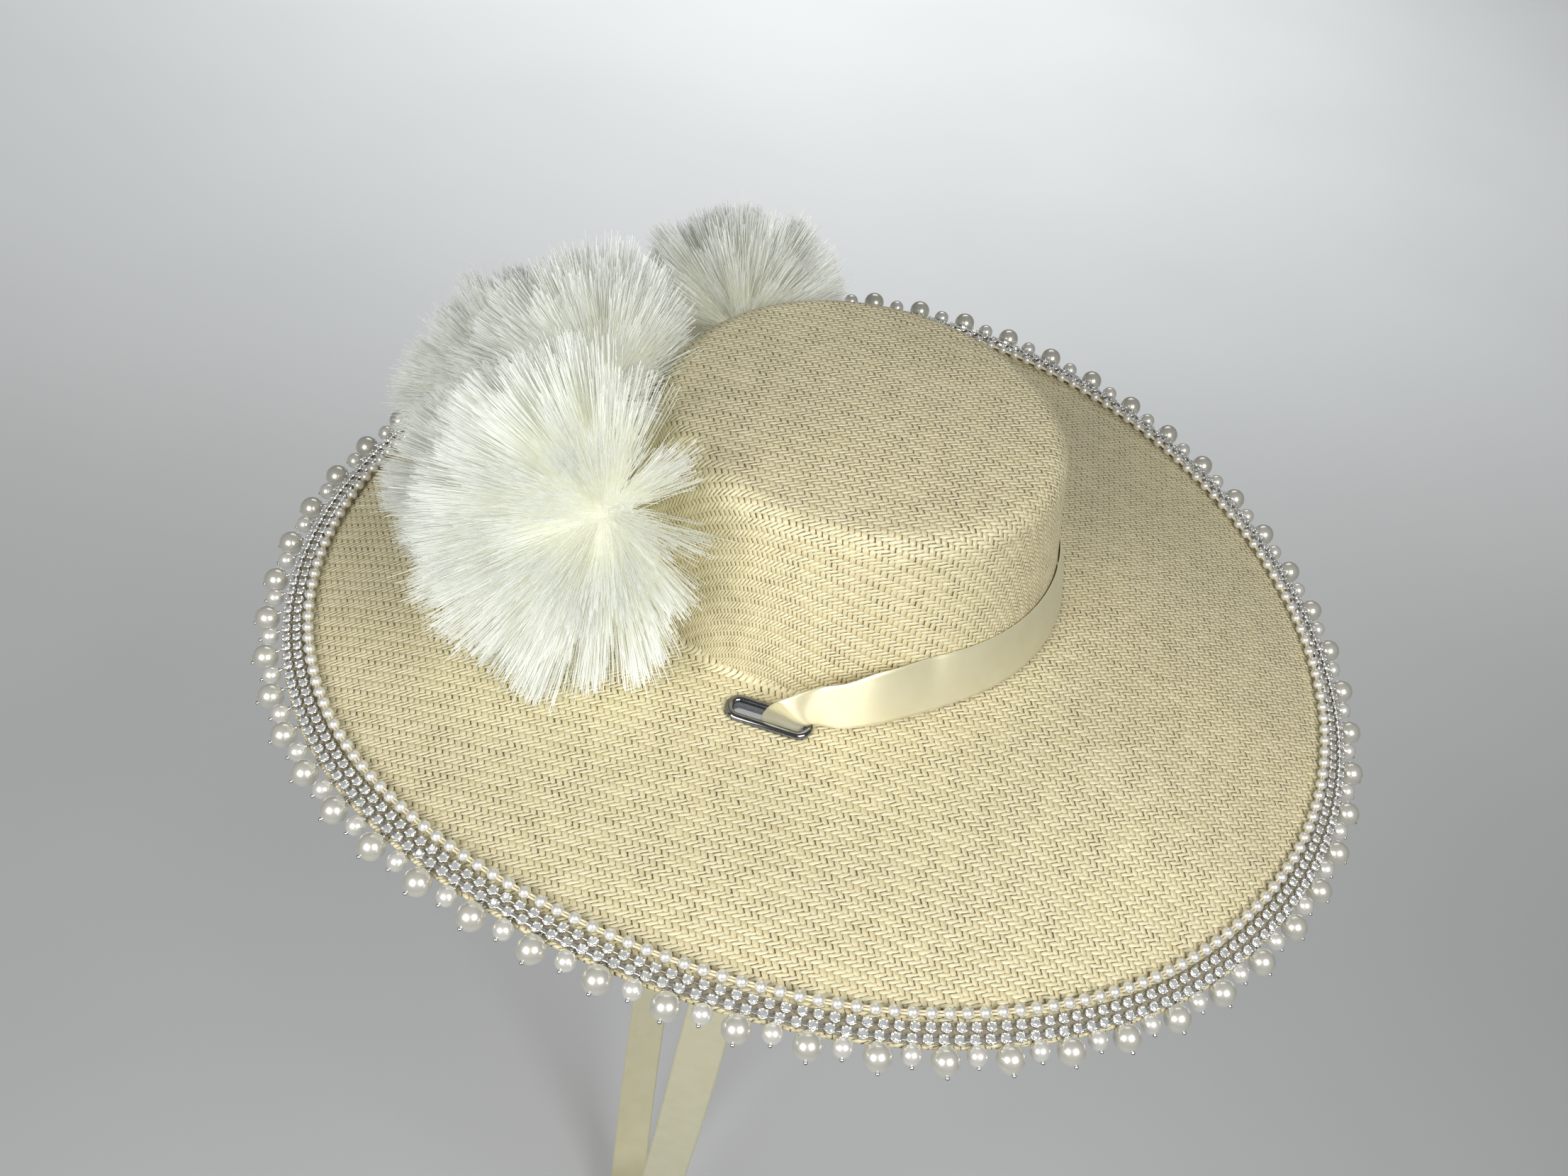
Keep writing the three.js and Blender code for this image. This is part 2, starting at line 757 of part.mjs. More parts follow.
// Each flower keeps to its own side of the planes halfway to its neighbours
function flowerGeometry(flower, keepOut) {
  let solid = flowerSolid(flower).subtract(keepOut);
  const here = new THREE.Vector3(...flower.at);
  for (const other of FLOWERS) {
    if (other !== flower) {
      const there = new THREE.Vector3(...other.at);
      const inward = here.clone().sub(there).normalize();
      const plane = inward.dot(here.clone().lerp(there, 0.5)) + GAP / 2;
      solid = solid.trimByPlane(inward.toArray(), plane);
    }
  }
  const parts = solid.decompose();
  return toGeometry(parts.reduce((best, part) => (part.volume() > best.volume() ? part : best)));
}

// Materials

const straw = new THREE.MeshStandardMaterial({ color: '#ddd1a9', roughness: 0.85 });
const metal = new THREE.MeshStandardMaterial({ color: '#c9ccd1', roughness: 0.18, metalness: 1 });
const satin = new THREE.MeshStandardMaterial({ color: '#ece6c6', roughness: 0.35 });
const pearlCoat = new THREE.MeshStandardMaterial({ color: '#d9d6cc', roughness: 0.2 });
const fibre = new THREE.MeshStandardMaterial({ color: '#f3f1e4', roughness: 0.7 });

// The hat

const hat = new THREE.Group();
const [nearFrame, farFrame] = eyeletFrames();
hat.add(namedMesh('straw_body', strawBody(), straw));
hat.add(namedMesh('eyelet_left', eyelet(nearFrame), metal));
hat.add(namedMesh('eyelet_right', eyelet(farFrame), metal));
hat.add(namedMesh('satin_ribbon', satinRibbon(), satin));
hat.add(namedMesh('pearl_fringe', pearlFringe(), pearlCoat));
hat.add(namedMesh('pearl_string', pearlString(), pearlCoat));
hat.add(namedMesh('flower_strip', flowerStrip(), satin));

const keepOut = toSolid(strawSpace()).add(toSolid(flowerStripSpace()));
for (const flower of FLOWERS) {
  hat.add(namedMesh(flower.name, flowerGeometry(flower, keepOut), fibre));
}

export default hat;
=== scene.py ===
"""Wide-brim straw hat with a pearl and crystal edge, brush flowers and a satin ribbon tie.

Metres, +Z up. The origin is the middle of the head opening, where crown and brim meet.
The wearer faces -Y, so +X is the wearer's left.
"""

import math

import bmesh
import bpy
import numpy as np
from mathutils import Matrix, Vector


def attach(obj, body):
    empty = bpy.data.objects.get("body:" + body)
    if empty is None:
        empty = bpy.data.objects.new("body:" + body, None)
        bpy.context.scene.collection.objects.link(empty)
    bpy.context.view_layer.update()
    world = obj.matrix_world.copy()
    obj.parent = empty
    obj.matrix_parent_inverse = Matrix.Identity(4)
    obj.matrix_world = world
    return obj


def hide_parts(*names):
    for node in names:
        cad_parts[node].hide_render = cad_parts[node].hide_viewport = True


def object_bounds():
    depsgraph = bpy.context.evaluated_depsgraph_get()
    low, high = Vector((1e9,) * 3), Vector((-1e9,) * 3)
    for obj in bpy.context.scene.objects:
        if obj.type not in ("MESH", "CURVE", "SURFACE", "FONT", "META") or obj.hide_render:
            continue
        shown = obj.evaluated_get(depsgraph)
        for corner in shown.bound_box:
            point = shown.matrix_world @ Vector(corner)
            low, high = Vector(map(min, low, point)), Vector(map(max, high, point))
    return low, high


bl_info = {
    "name": "Wide-Brim Straw Hat",
    "version": (1, 0, 0),
    "blender": (4, 5, 0),
    "location": "View3D > Sidebar > Straw Hat",
    "description": "Dresses the packed straw hat with weave, pearls, crystals, brush flowers and satin",
    "category": "Add Mesh",
}

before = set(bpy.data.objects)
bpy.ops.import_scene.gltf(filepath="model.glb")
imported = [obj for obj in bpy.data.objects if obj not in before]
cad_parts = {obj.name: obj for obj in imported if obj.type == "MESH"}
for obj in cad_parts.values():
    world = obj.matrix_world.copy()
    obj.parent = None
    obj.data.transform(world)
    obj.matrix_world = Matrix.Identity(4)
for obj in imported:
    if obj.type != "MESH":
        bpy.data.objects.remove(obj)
cad_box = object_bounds()

# Crown: an ellipse at the head opening that narrows evenly to a rounded top edge
CROWN_HALF_WIDTH = 0.0893
CROWN_HALF_LENGTH = 0.091
CROWN_HEIGHT = 0.072
CROWN_DOME = 0.003
CROWN_TOP_SCALE = 0.856
CROWN_CORNER = 0.010
CROWN_SIZE = (CROWN_HALF_WIDTH + CROWN_HALF_LENGTH) / 2

# Brim: its edge ellipse is set a little to the wearer's left of the crown
EDGE_HALF_WIDTH = 0.2077
EDGE_HALF_LENGTH = 0.2208
EDGE_CENTRE_X = 0.009
EDGE_CENTRE_Y = 0.0005
BRIM_DROOP = 0.026
BRIM_DROOP_POWER = 1.3
EDGE_WAVES = (
    {"crests": 2, "height": 0.0127, "azimuth": -23},
    {"crests": 3, "height": 0.0016, "azimuth": 73},
    {"crests": 4, "height": 0.0017, "azimuth": 62},
    {"crests": 5, "height": 0.0008, "azimuth": 37},
)
DENT = {"azimuth": 31, "half_angle": 20, "depth": 0.0022, "starts_at": 0.35}
STRAW_WALL = 0.0015
EDGE_ROLL = 0.0009
FOOT_FILLET = 0.003
GAP = 0.00035

# Eyelets: oblong metal rings with rolled rims, one at each side a little in front of the ears
EYELET_AZIMUTHS = (-20, 200)
EYELET_OUTWARD = 0.0128
EYELET_STRAIGHT_HALF = 0.011
EYELET_BORE = 0.0026
EYELET_BARREL = 0.0036
EYELET_RIM = 0.0059
EYELET_RIM_HEIGHT = 0.0019
EYELET_LOWER_RIM = 0.0053
EYELET_LOWER_THICKNESS = 0.0008
EYELET_SLACK = 0.00015

# Ribbon: one loop of satin round the back of the crown, through both eyelets and under the chin
RIBBON_WIDTH = 0.0226
RIBBON_WIDTH_AT_FOLD = 0.0178
RIBBON_WIDTH_IN_SLOT = 0.0155
RIBBON_NARROWS_FROM = 2
RIBBON_LIFT = 0.0013
RIBBON_LIFT_AT_RIM = 0.0032
RIBBON_FOOT_GAP = 0.003
RIBBON_FOOT_FLARE = {"gap": 0.010, "azimuth": -12, "spread": 20}
RIBBON_TOP_GAP = 0.0009
RIBBON_TOP_FLARE = {"gap": 0.0165, "from": 16, "spread": 33, "power": 1.2}
RIBBON_BAND_END = -11
RIBBON_CHIN_DEPTH = 0.600
RIBBON_CHIN_FORWARD = 0.006

# Its fold into the eyelet: both edges, each as a place along the slot, outwards and off the brim,
# and how far the middle of the strip bulges
RIBBON_FOLD = (
    {"lower": (0.0146, -0.0004, 0.0031), "upper": (0.0026, 0.0016, 0.0138), "bulge": 0.0016},
    {"lower": (0.0133, 0.0, 0.0016), "upper": (-0.0006, 0.0010, 0.0082), "bulge": 0.0002},
    {"lower": (0.0127, 0.0, -0.0012), "upper": (-0.0024, 0.0002, 0.0022), "bulge": -0.0006},
    {"lower": (0.0125, 0.0, -0.0045), "upper": (-0.0030, 0.0, -0.0035), "bulge": 0.0},
)

# Edge trim: places are measured inwards from the straw's edge, and pearls hang outside the brim's oval
EDGE_SPARE = {"mean": 0.0006, "sway": 0.0015, "azimuth": 50}
TAPE_INSETS = (0.0004, 0.0078)
TAPE_THICKNESS = 0.0005
STONE_ROWS = (0.0016, 0.0057)
STRING_INSET = 0.0102
PEARL_OUTSET = 0.0065
PEARL_LIFT = 0.0004
PEARL_PHASE = 0.7
SMALL_PEARL_OUTSET = 0.0049
PIN_ROOT_INSET = 0.0016
PIN_ROOT_LIFT = 0.0015
PIN_RADIUS = 0.0004
PIN_HEAD_RADIUS = 0.0008

# Satin strip that carries the flowers along the crown's foot
STRIP = {"from": -62, "to": -172, "bottom": 0.0025, "top": 0.021, "gap": 0.0007, "thickness": 0.0016}

# Brush flowers: where each is bound, where it points, how long its fibres are, its share of the fibres, and
# the range of painted light on its clumps, highest on the first flower, the one nearest the lamps
FLOWERS = (
    {"at": (0.030, -0.098, 0.036), "towards": (0.5, -0.8, 0.06), "length": 0.070, "share": 1.3,
     "painted_light_range": (0.6, 1.0)},
    {"at": (-0.002, -0.126, 0.015), "towards": (-0.05, -0.92, 0.38), "length": 0.054, "share": 0.9,
     "painted_light_range": (0.2, 0.6)},
    {"at": (-0.030, -0.099, 0.042), "towards": (-0.2, -0.76, 0.62), "length": 0.060, "share": 1.0,
     "painted_light_range": (0.3, 0.8)},
    {"at": (-0.058, -0.128, 0.018), "towards": (-0.5, -0.78, 0.36), "length": 0.054, "share": 0.9,
     "painted_light_range": (0.2, 0.6)},
    {"at": (-0.092, -0.040, 0.036), "towards": (-0.8, -0.14, 0.58), "length": 0.054, "share": 0.9,
     "painted_light_range": (0.2, 0.6)},
)

# How fibres differ: spreads are in radians for tilt, turn and bend, in metres for root, else in shares
FIBRE_CLUMPS = 110
WIDEST_TILT = math.radians(98)
CLUMP_SPREAD = {"tilt": 0.04, "turn": 0.1, "reach": 0.04}
FIBRE_SPREAD = {"tilt": 0.06, "turn": 0.06, "bend": 0.022, "reach": 0.018, "root": 0.0015, "shade": 0.16}
FIBRE_MEAN_REACH = 0.98
STRAYS = {"share": 0.03, "shortest": 0.55, "longest": 1.14}
FIBRE_DROOP = 0.0022
FIBRE_CLEARANCE = 0.0012
FIBRE_ROOT_LIFT = 0.002

# Camera: the place and directions that line the hat up with the photograph
CAMERA_PLACE = (0.4942, -0.1267, 0.4430)
CAMERA_RIGHT = (0.07416, 0.98606, 0.14893)
CAMERA_UP = (-0.69352, -0.05632, 0.71823)
CAMERA_FORWARD = (-0.71661, 0.15655, -0.67968)
CAMERA_LENS_MM = 37.57
CAMERA_SENSOR_MM = 36.0

# A softbox stands on each side of the camera, and a lamp over the floor far behind the hat
SOFTBOX = {"aside": 0.4, "below": 0.06, "behind": 0.08, "size": 0.42}
BACKDROP_LAMP = {"at": (-2.4, 0.3, 1.7), "towards": (-2.3, 0.3), "size": 1.6, "spread": 115}
FLOOR_DROP = 0.03
FLOOR_HALF = 6.0

# The straw's weft runs at this azimuth, and its warp square to it
WEFT_AZIMUTH = 102


def srgb(code):
    """Linear colour, with alpha, of an sRGB hex value."""
    values = [int(code[i:i + 2], 16) / 255 for i in (1, 3, 5)]
    linear = [v / 12.92 if v <= 0.04045 else ((v + 0.055) / 1.055) ** 2.4 for v in values]
    return (*linear, 1.0)


def smoothstep(value, low, high):
    """0 below low, 1 above high, and an even curve between them."""
    share = np.clip((value - low) / (high - low), 0.0, 1.0)
    return share * share * (3 - 2 * share)


def mix(first, second, share):
    """The value that lies a share of the way from first to second."""
    return first + (second - first) * share


def unit(vectors):
    """Vectors of length one."""
    return vectors / np.linalg.norm(vectors, axis=-1, keepdims=True)


# Shape of the hat: crown wall and brim


def crown_scale(height):
    """Size of the crown's oval at a height, as a share of its foot."""
    return mix(1.0, CROWN_TOP_SCALE, height / CROWN_HEIGHT)


def crown_point(theta, scale, height):
    """Points on the crown's oval."""
    x = CROWN_HALF_WIDTH * scale * np.cos(theta)
    y = CROWN_HALF_LENGTH * scale * np.sin(theta)
    return np.stack([x, y, np.zeros_like(x) + height], axis=-1)


def edge_point(theta):
    """Points on the brim's edge, seen from above."""
    x = EDGE_CENTRE_X + EDGE_HALF_WIDTH * np.cos(theta)
    y = EDGE_CENTRE_Y + EDGE_HALF_LENGTH * np.sin(theta)
    return np.stack([x, y, np.zeros_like(x)], axis=-1)


def brim_reach(theta):
    """Width of the brim, seen from above."""
    return np.linalg.norm(edge_point(theta) - crown_point(theta, 1.0, 0.0), axis=-1)


def brim_height(theta, share):
    """Height of the brim's top face, a share of the way from the crown's foot to the edge."""
    height = -BRIM_DROOP * np.maximum(share, 0.0) ** BRIM_DROOP_POWER
    for wave in EDGE_WAVES:
        from_crest = theta - math.radians(wave["azimuth"])
        height += share ** 2 * wave["height"] * np.cos(wave["crests"] * from_crest)
    turn = np.mod(theta - math.radians(DENT["azimuth"]) + math.pi, 2 * math.pi) - math.pi
    away = np.clip(np.abs(turn) / math.radians(DENT["half_angle"]), 0.0, 1.0)
    dent = DENT["depth"] * smoothstep(share, DENT["starts_at"], 1.0) * np.cos(away * math.pi / 2) ** 2
    return height - dent


def brim_point(theta, outward):
    """Points on the brim's top face, a distance outward from the crown's foot."""
    share = outward / brim_reach(theta)
    foot = crown_point(theta, 1.0, 0.0)
    point = foot + (edge_point(theta) - foot) * share[..., None]
    point[..., 2] = brim_height(theta, share)
    return point


def brim_frame(theta, outward):
    """Place and directions on the brim's top face: outwards, along the edge, and off the face."""
    step = 0.0005
    angle_step = 0.01
    origin = brim_point(theta, outward)
    out = unit(brim_point(theta, outward + step) - brim_point(theta, outward - step))
    along = brim_point(theta + angle_step, outward) - brim_point(theta - angle_step, outward)
    normal = unit(np.cross(out, along))
    return {"origin": origin, "out": out, "along": np.cross(normal, out), "normal": normal}


def place(spot, out=0.0, along=0.0, lift=0.0):
    """Points at offsets from a spot on the brim."""
    return spot["origin"] + spot["out"] * out + spot["along"] * along + spot["normal"] * lift


def straw_reach(theta):
    """Width of the brim out to the straw's edge, which runs a little off the brim's oval."""
    sway = EDGE_SPARE["sway"] * np.cos(theta - math.radians(EDGE_SPARE["azimuth"]))
    return brim_reach(theta) + EDGE_SPARE["mean"] + sway


def trim_frame(theta, inset):
    """Place and directions on the brim, a distance inwards from the straw's edge."""
    return brim_frame(theta, straw_reach(theta) - inset)


def pearl_centre(theta, outset):
    """Points off the brim, a distance outwards from its oval, where the pearls hang."""
    return place(brim_frame(theta, brim_reach(theta) + outset), lift=PEARL_LIFT)


def even_angles(point_at, count, start=0.0, offset=0.0):
    """Angles that divide a curve round the hat into equal lengths."""
    samples = start + np.linspace(0.0, 2 * math.pi, 2881)
    steps = np.linalg.norm(np.diff(point_at(samples), axis=0), axis=-1)
    lengths = np.concatenate([[0.0], np.cumsum(steps)])
    wanted = lengths[-1] * (np.arange(count) + offset) / count
    return np.interp(wanted, lengths, samples)


def seam_angles(inset, count, lift=0.0, offset=0.0):
    """Angles that divide a line along the brim's edge, at an inset from it, into equal lengths."""
    return even_angles(lambda theta: place(trim_frame(theta, inset), lift=lift), count, offset=offset)


# Meshes


def make_object(name, verts, faces, material, uvs=None, smooth=True):
    """A new object from plain points and faces, with a UV for each face corner where given."""
    mesh = bpy.data.meshes.new(name)
    mesh.from_pydata(np.asarray(verts).reshape(-1, 3).tolist(), [], faces)
    if uvs is not None:
        layer = mesh.uv_layers.new(name="cloth")
        layer.data.foreach_set("uv", np.asarray(uvs, dtype=np.float32).ravel())
    mesh.materials.append(material)
    mesh.polygons.foreach_set("use_smooth", [smooth] * len(mesh.polygons))
    mesh.update()
    piece = bpy.data.objects.new(name, mesh)
    bpy.context.scene.collection.objects.link(piece)
    return piece


def turn_faces_out(piece):
    """Turns the faces of a closed piece outwards."""
    shape = bmesh.new()
    shape.from_mesh(piece.data)
    bmesh.ops.recalc_face_normals(shape, faces=shape.faces)
    if shape.calc_volume(signed=True) < 0:
        bmesh.ops.reverse_faces(shape, faces=shape.faces)
    shape.to_mesh(piece.data)
    shape.free()


def apply_modifiers(piece):
    """Turns what the piece's modifiers make into its own plain mesh."""
    depsgraph = bpy.context.evaluated_depsgraph_get()
    mesh = bpy.data.meshes.new_from_object(piece.evaluated_get(depsgraph), depsgraph=depsgraph)
    piece.modifiers.clear()
    piece.data = mesh
    return piece


def remove_object(piece):
    """Deletes a helper object and its mesh."""
    mesh = piece.data
    bpy.data.objects.remove(piece)
    bpy.data.meshes.remove(mesh)


def grid_faces(rows, columns, close_rows=False, close_columns=True):
    """Quads over a grid of points, which may close on itself either way."""
    faces = []
    for row in range(rows if close_rows else rows - 1):
        for column in range(columns if close_columns else columns - 1):
            next_row = (row + 1) % rows
            next_column = (column + 1) % columns
            faces.append((
                row * columns + column,
                next_row * columns + column,
                next_row * columns + next_column,
                row * columns + next_column,
            ))
    return faces


def tube_loop(name, centres, outs, normals, radius, sides, material):
    """A round tube along a closed line."""
    turns = 2 * math.pi * np.arange(sides) / sides
    sections = centres[:, None] + radius * (
        outs[:, None] * np.cos(turns)[None, :, None] + normals[:, None] * np.sin(turns)[None, :, None]
    )
    faces = grid_faces(len(centres), sides, close_rows=True)
    piece = make_object(name, sections, faces, material)
    turn_faces_out(piece)
    return piece


def finish_piece(piece, slot, *nodes):
    """Fixes the piece to the hat's body and lets it stand for its CAD nodes; its slot is not used."""
    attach(piece, "root")
    if nodes:
        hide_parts(*nodes)
    return piece


# Node trees


def add_node(tree, kind, inputs=None, **settings):
    """A new node with its settings, and each input linked to a socket or set to a value."""
    node = tree.nodes.new(kind)
    for name, value in settings.items():
        setattr(node, name, value)
    for key, value in (inputs or {}).items():
        if isinstance(value, bpy.types.NodeSocket):
            tree.links.new(value, node.inputs[key])
        else:
            node.inputs[key].default_value = value
    return node


def new_material(name):
    """A new material with an empty node tree."""
    material = bpy.data.materials.new(name)
    material.use_nodes = True
    material.node_tree.nodes.clear()
    return material


def math_steps(tree, sockets, steps):
    """Adds a Math node for each row: its name, its operation, and the names or numbers it reads."""
    for name, operation, *values in steps:
        inputs = {i: sockets.get(value, value) for i, value in enumerate(values)}
        sockets[name] = add_node(tree, "ShaderNodeMath", inputs, operation=operation).outputs[0]
    return sockets


# Heights in the weave, where a thread's line runs from -1 under the others to 1 over them
THREAD_ROUND = 0.9
THREAD_MISSING = -3.0
HOLE_DEPTH = -1.8

# Two over, two under: each row of the twill starts one warp thread further along
TWILL_STEPS = (
    ("column", "FLOOR", "u"),
    ("row", "FLOOR", "v"),
    ("in_column", "FRACT", "u"),
    ("in_row", "FRACT", "v"),
    ("weft_shift", "SUBTRACT", "u", "row"),
    ("weft_phase", "FLOORED_MODULO", "weft_shift", 4.0),
    ("weft_angle", "MULTIPLY_ADD", "weft_phase", math.pi / 2, -math.pi / 2),
    ("weft_rise", "COSINE", "weft_angle"),
    ("warp_shift", "SUBTRACT", "column", "v"),
    ("warp_turn", "ADD", "warp_shift", 1.0),
    ("warp_phase", "FLOORED_MODULO", "warp_turn", 4.0),
    ("warp_angle", "MULTIPLY_ADD", "warp_phase", math.pi / 2, -math.pi / 2),
    ("warp_fall", "COSINE", "warp_angle"),
    ("weft_off", "SUBTRACT", "in_row", 0.5),
    ("weft_away", "ABSOLUTE", "weft_off"),
    ("weft_edge", "DIVIDE", "weft_away", "weft_half"),
    ("weft_square", "MULTIPLY", "weft_edge", "weft_edge"),
    ("weft_round", "SUBTRACT", 1.0, "weft_square"),
    ("weft_missing", "LESS_THAN", "weft_round", 0.0),
    ("weft_crown", "MULTIPLY_ADD", "weft_round", THREAD_ROUND, "weft_rise"),
    ("weft_height", "MULTIPLY_ADD", "weft_missing", THREAD_MISSING, "weft_crown"),
    ("warp_off", "SUBTRACT", "in_column", 0.5),
    ("warp_away", "ABSOLUTE", "warp_off"),
    ("warp_edge", "DIVIDE", "warp_away", "warp_half"),
    ("warp_square", "MULTIPLY", "warp_edge", "warp_edge"),
    ("warp_round", "SUBTRACT", 1.0, "warp_square"),
    ("warp_missing", "LESS_THAN", "warp_round", 0.0),
    ("warp_bare", "MULTIPLY", "warp_round", THREAD_ROUND),
    ("warp_crown", "SUBTRACT", "warp_bare", "warp_fall"),
    ("warp_height", "MULTIPLY_ADD", "warp_missing", THREAD_MISSING, "warp_crown"),
    ("upper", "MAXIMUM", "weft_height", "warp_height"),
    ("height", "MAXIMUM", "upper", HOLE_DEPTH),
    ("weft_shows", "GREATER_THAN", "weft_height", "warp_height"),
)


def paper_straw(settings):
    """Paper straw twill: flat matt threads with a slight gloss, and small holes where they cross."""
    material = new_material("paper straw twill")
    tree = material.node_tree
    cloth = add_node(tree, "ShaderNodeUVMap", uv_map="cloth").outputs[0]
    solid = add_node(tree, "ShaderNodeTexCoord").outputs["Object"]
    # Threads wander by about half a millimetre over every 15 mm
    wander = add_node(tree, "ShaderNodeTexNoise", {"Vector": solid, "Scale": 75.0, "Detail": 4.0})
    centred = add_node(
        tree, "ShaderNodeVectorMath", {0: wander.outputs["Color"], 1: (-0.5, -0.5, -0.5)}, operation="ADD")
    small = add_node(tree, "ShaderNodeVectorMath", {0: centred.outputs[0], "Scale": 0.002}, operation="SCALE")
    moved = add_node(tree, "ShaderNodeVectorMath", {0: cloth, 1: small.outputs[0]}, operation="ADD")
    parts = add_node(tree, "ShaderNodeSeparateXYZ", {0: moved.outputs[0]}).outputs
    # Where the cloth is loose, both threads are thin and the holes open in patches
    tightness = add_node(tree, "ShaderNodeTexNoise", {"Vector": solid, "Scale": 170.0, "Detail": 3.0})
    weft_half = add_node(tree, "ShaderNodeMapRange", {
        "Value": tightness.outputs["Fac"], "From Min": 0.3, "From Max": 0.65, "To Min": 0.4, "To Max": 0.5})
    warp_half = add_node(tree, "ShaderNodeMapRange", {
        "Value": tightness.outputs["Fac"], "From Min": 0.3, "From Max": 0.65, "To Min": 0.38, "To Max": 0.49})
    sockets = {
        "weft_half": weft_half.outputs[0], "warp_half": warp_half.outputs[0],
        "x": parts[0], "y": parts[1],
    }
    math_steps(tree, sockets, (
        ("u", "DIVIDE", "x", settings.warp_pitch),
        ("v", "DIVIDE", "y", settings.weft_pitch),
    ))
    math_steps(tree, sockets, TWILL_STEPS)
    # Streaks run along a weft thread for some 10 mm, and differ from thread to thread: partly the threads'
    # own tone, partly painted highlight on their gloss
    streak_place = add_node(tree, "ShaderNodeCombineXYZ", {0: sockets["u"], 1: sockets["row"]})
    stretched = add_node(
        tree, "ShaderNodeVectorMath", {0: streak_place.outputs[0], 1: (0.22, 1.7, 1.0)}, operation="MULTIPLY")
    streaks = add_node(tree, "ShaderNodeTexNoise", {
        "Vector": stretched.outputs[0], "Scale": 1.0, "Detail": 3.0})
    patches = add_node(tree, "ShaderNodeTexNoise", {"Vector": solid, "Scale": 14.0, "Detail": 2.0})
    threads = add_node(tree, "ShaderNodeMix", {
        "Factor": sockets["weft_shows"], 6: srgb("#cfc292"), 7: srgb("#e7ddb2")}, data_type="RGBA")
    streaked = add_node(tree, "ShaderNodeMix", {
        "Factor": streaks.outputs["Fac"], 6: srgb("#aa9c6f"), 7: srgb("#fbf3d4")}, data_type="RGBA")
    blended = add_node(tree, "ShaderNodeMix", {
        "Factor": 0.5, 6: threads.outputs[2], 7: streaked.outputs[2]}, data_type="RGBA")
    # Painted shade: the colour darkens to deep brown where the weave lies low, in the holes and where threads
    # dip under the others
    depth = add_node(tree, "ShaderNodeMapRange", {
        "Value": sockets["height"], "From Min": -0.45, "From Max": 1.2, "To Min": 0.0, "To Max": 1.0},
        interpolation_type="SMOOTHSTEP")
    shaded = add_node(tree, "ShaderNodeMix", {
        "Factor": depth.outputs[0], 6: srgb("#43391f"), 7: blended.outputs[2]}, data_type="RGBA")
    tone = add_node(tree, "ShaderNodeMapRange", {
        "Value": patches.outputs["Fac"], "From Min": 0.3, "From Max": 0.7, "To Min": 0.93, "To Max": 1.05})
    colour = add_node(
        tree, "ShaderNodeVectorMath", {0: shaded.outputs[2], "Scale": tone.outputs[0]}, operation="SCALE")
    relief = add_node(tree, "ShaderNodeBump", {
        "Height": sockets["height"], "Distance": 0.0003, "Strength": 0.9})
    gloss = add_node(tree, "ShaderNodeMapRange", {
        "Value": sockets["height"], "From Min": 0.0, "From Max": 1.8, "To Min": 0.85, "To Max": 0.33})
    shader = add_node(tree, "ShaderNodeBsdfPrincipled", {
        "Base Color": colour.outputs[0], "Roughness": gloss.outputs[0], "Normal": relief.outputs[0],
        "IOR": 1.48, "Specular IOR Level": 0.8, "Sheen Weight": 0.08})
    add_node(tree, "ShaderNodeOutputMaterial", {"Surface": shader.outputs[0]})
    return material


def polished_metal(name, tint, dull_tint, roughness):
    """Plated metal, polished: mirror-like, with faint tarnish and fine wear in the plating."""
    material = new_material(name)
    tree = material.node_tree
    solid = add_node(tree, "ShaderNodeTexCoord").outputs["Object"]
    tarnish = add_node(tree, "ShaderNodeTexNoise", {"Vector": solid, "Scale": 420.0, "Detail": 3.0})
    colour = add_node(tree, "ShaderNodeMix", {
        "Factor": tarnish.outputs["Fac"], 6: srgb(dull_tint), 7: srgb(tint)}, data_type="RGBA")
    wear = add_node(tree, "ShaderNodeMapRange", {
        "Value": tarnish.outputs["Fac"], "From Min": 0.3, "From Max": 0.7,
        "To Min": roughness * 1.8, "To Max": roughness})
    shader = add_node(tree, "ShaderNodeBsdfPrincipled", {
        "Base Color": colour.outputs[2], "Roughness": wear.outputs[0], "Metallic": 1.0})
    add_node(tree, "ShaderNodeOutputMaterial", {"Surface": shader.outputs[0]})
    return material


def pearl_coat(name, body, shade, sheen):
    """Imitation pearl: a pearl-essence coat on a glass bead, with a soft body under a clear gloss."""
    material = new_material(name)
    tree = material.node_tree
    solid = add_node(tree, "ShaderNodeTexCoord").outputs["Object"]
    clouds = add_node(tree, "ShaderNodeTexNoise", {"Vector": solid, "Scale": 180.0, "Detail": 2.0})
    colour = add_node(tree, "ShaderNodeMix", {
        "Factor": clouds.outputs["Fac"], 6: srgb(shade), 7: srgb(body)}, data_type="RGBA")
    shader = add_node(tree, "ShaderNodeBsdfPrincipled", {
        "Base Color": colour.outputs[2], "Roughness": 0.28, "Metallic": 0.5, "IOR": 1.55,
        "Coat Weight": 1.0, "Coat Roughness": 0.04, "Coat IOR": 1.6,
        "Sheen Weight": 0.2, "Sheen Roughness": 0.35, "Sheen Tint": srgb(sheen)})
    add_node(tree, "ShaderNodeOutputMaterial", {"Surface": shader.outputs[0]})
    return material


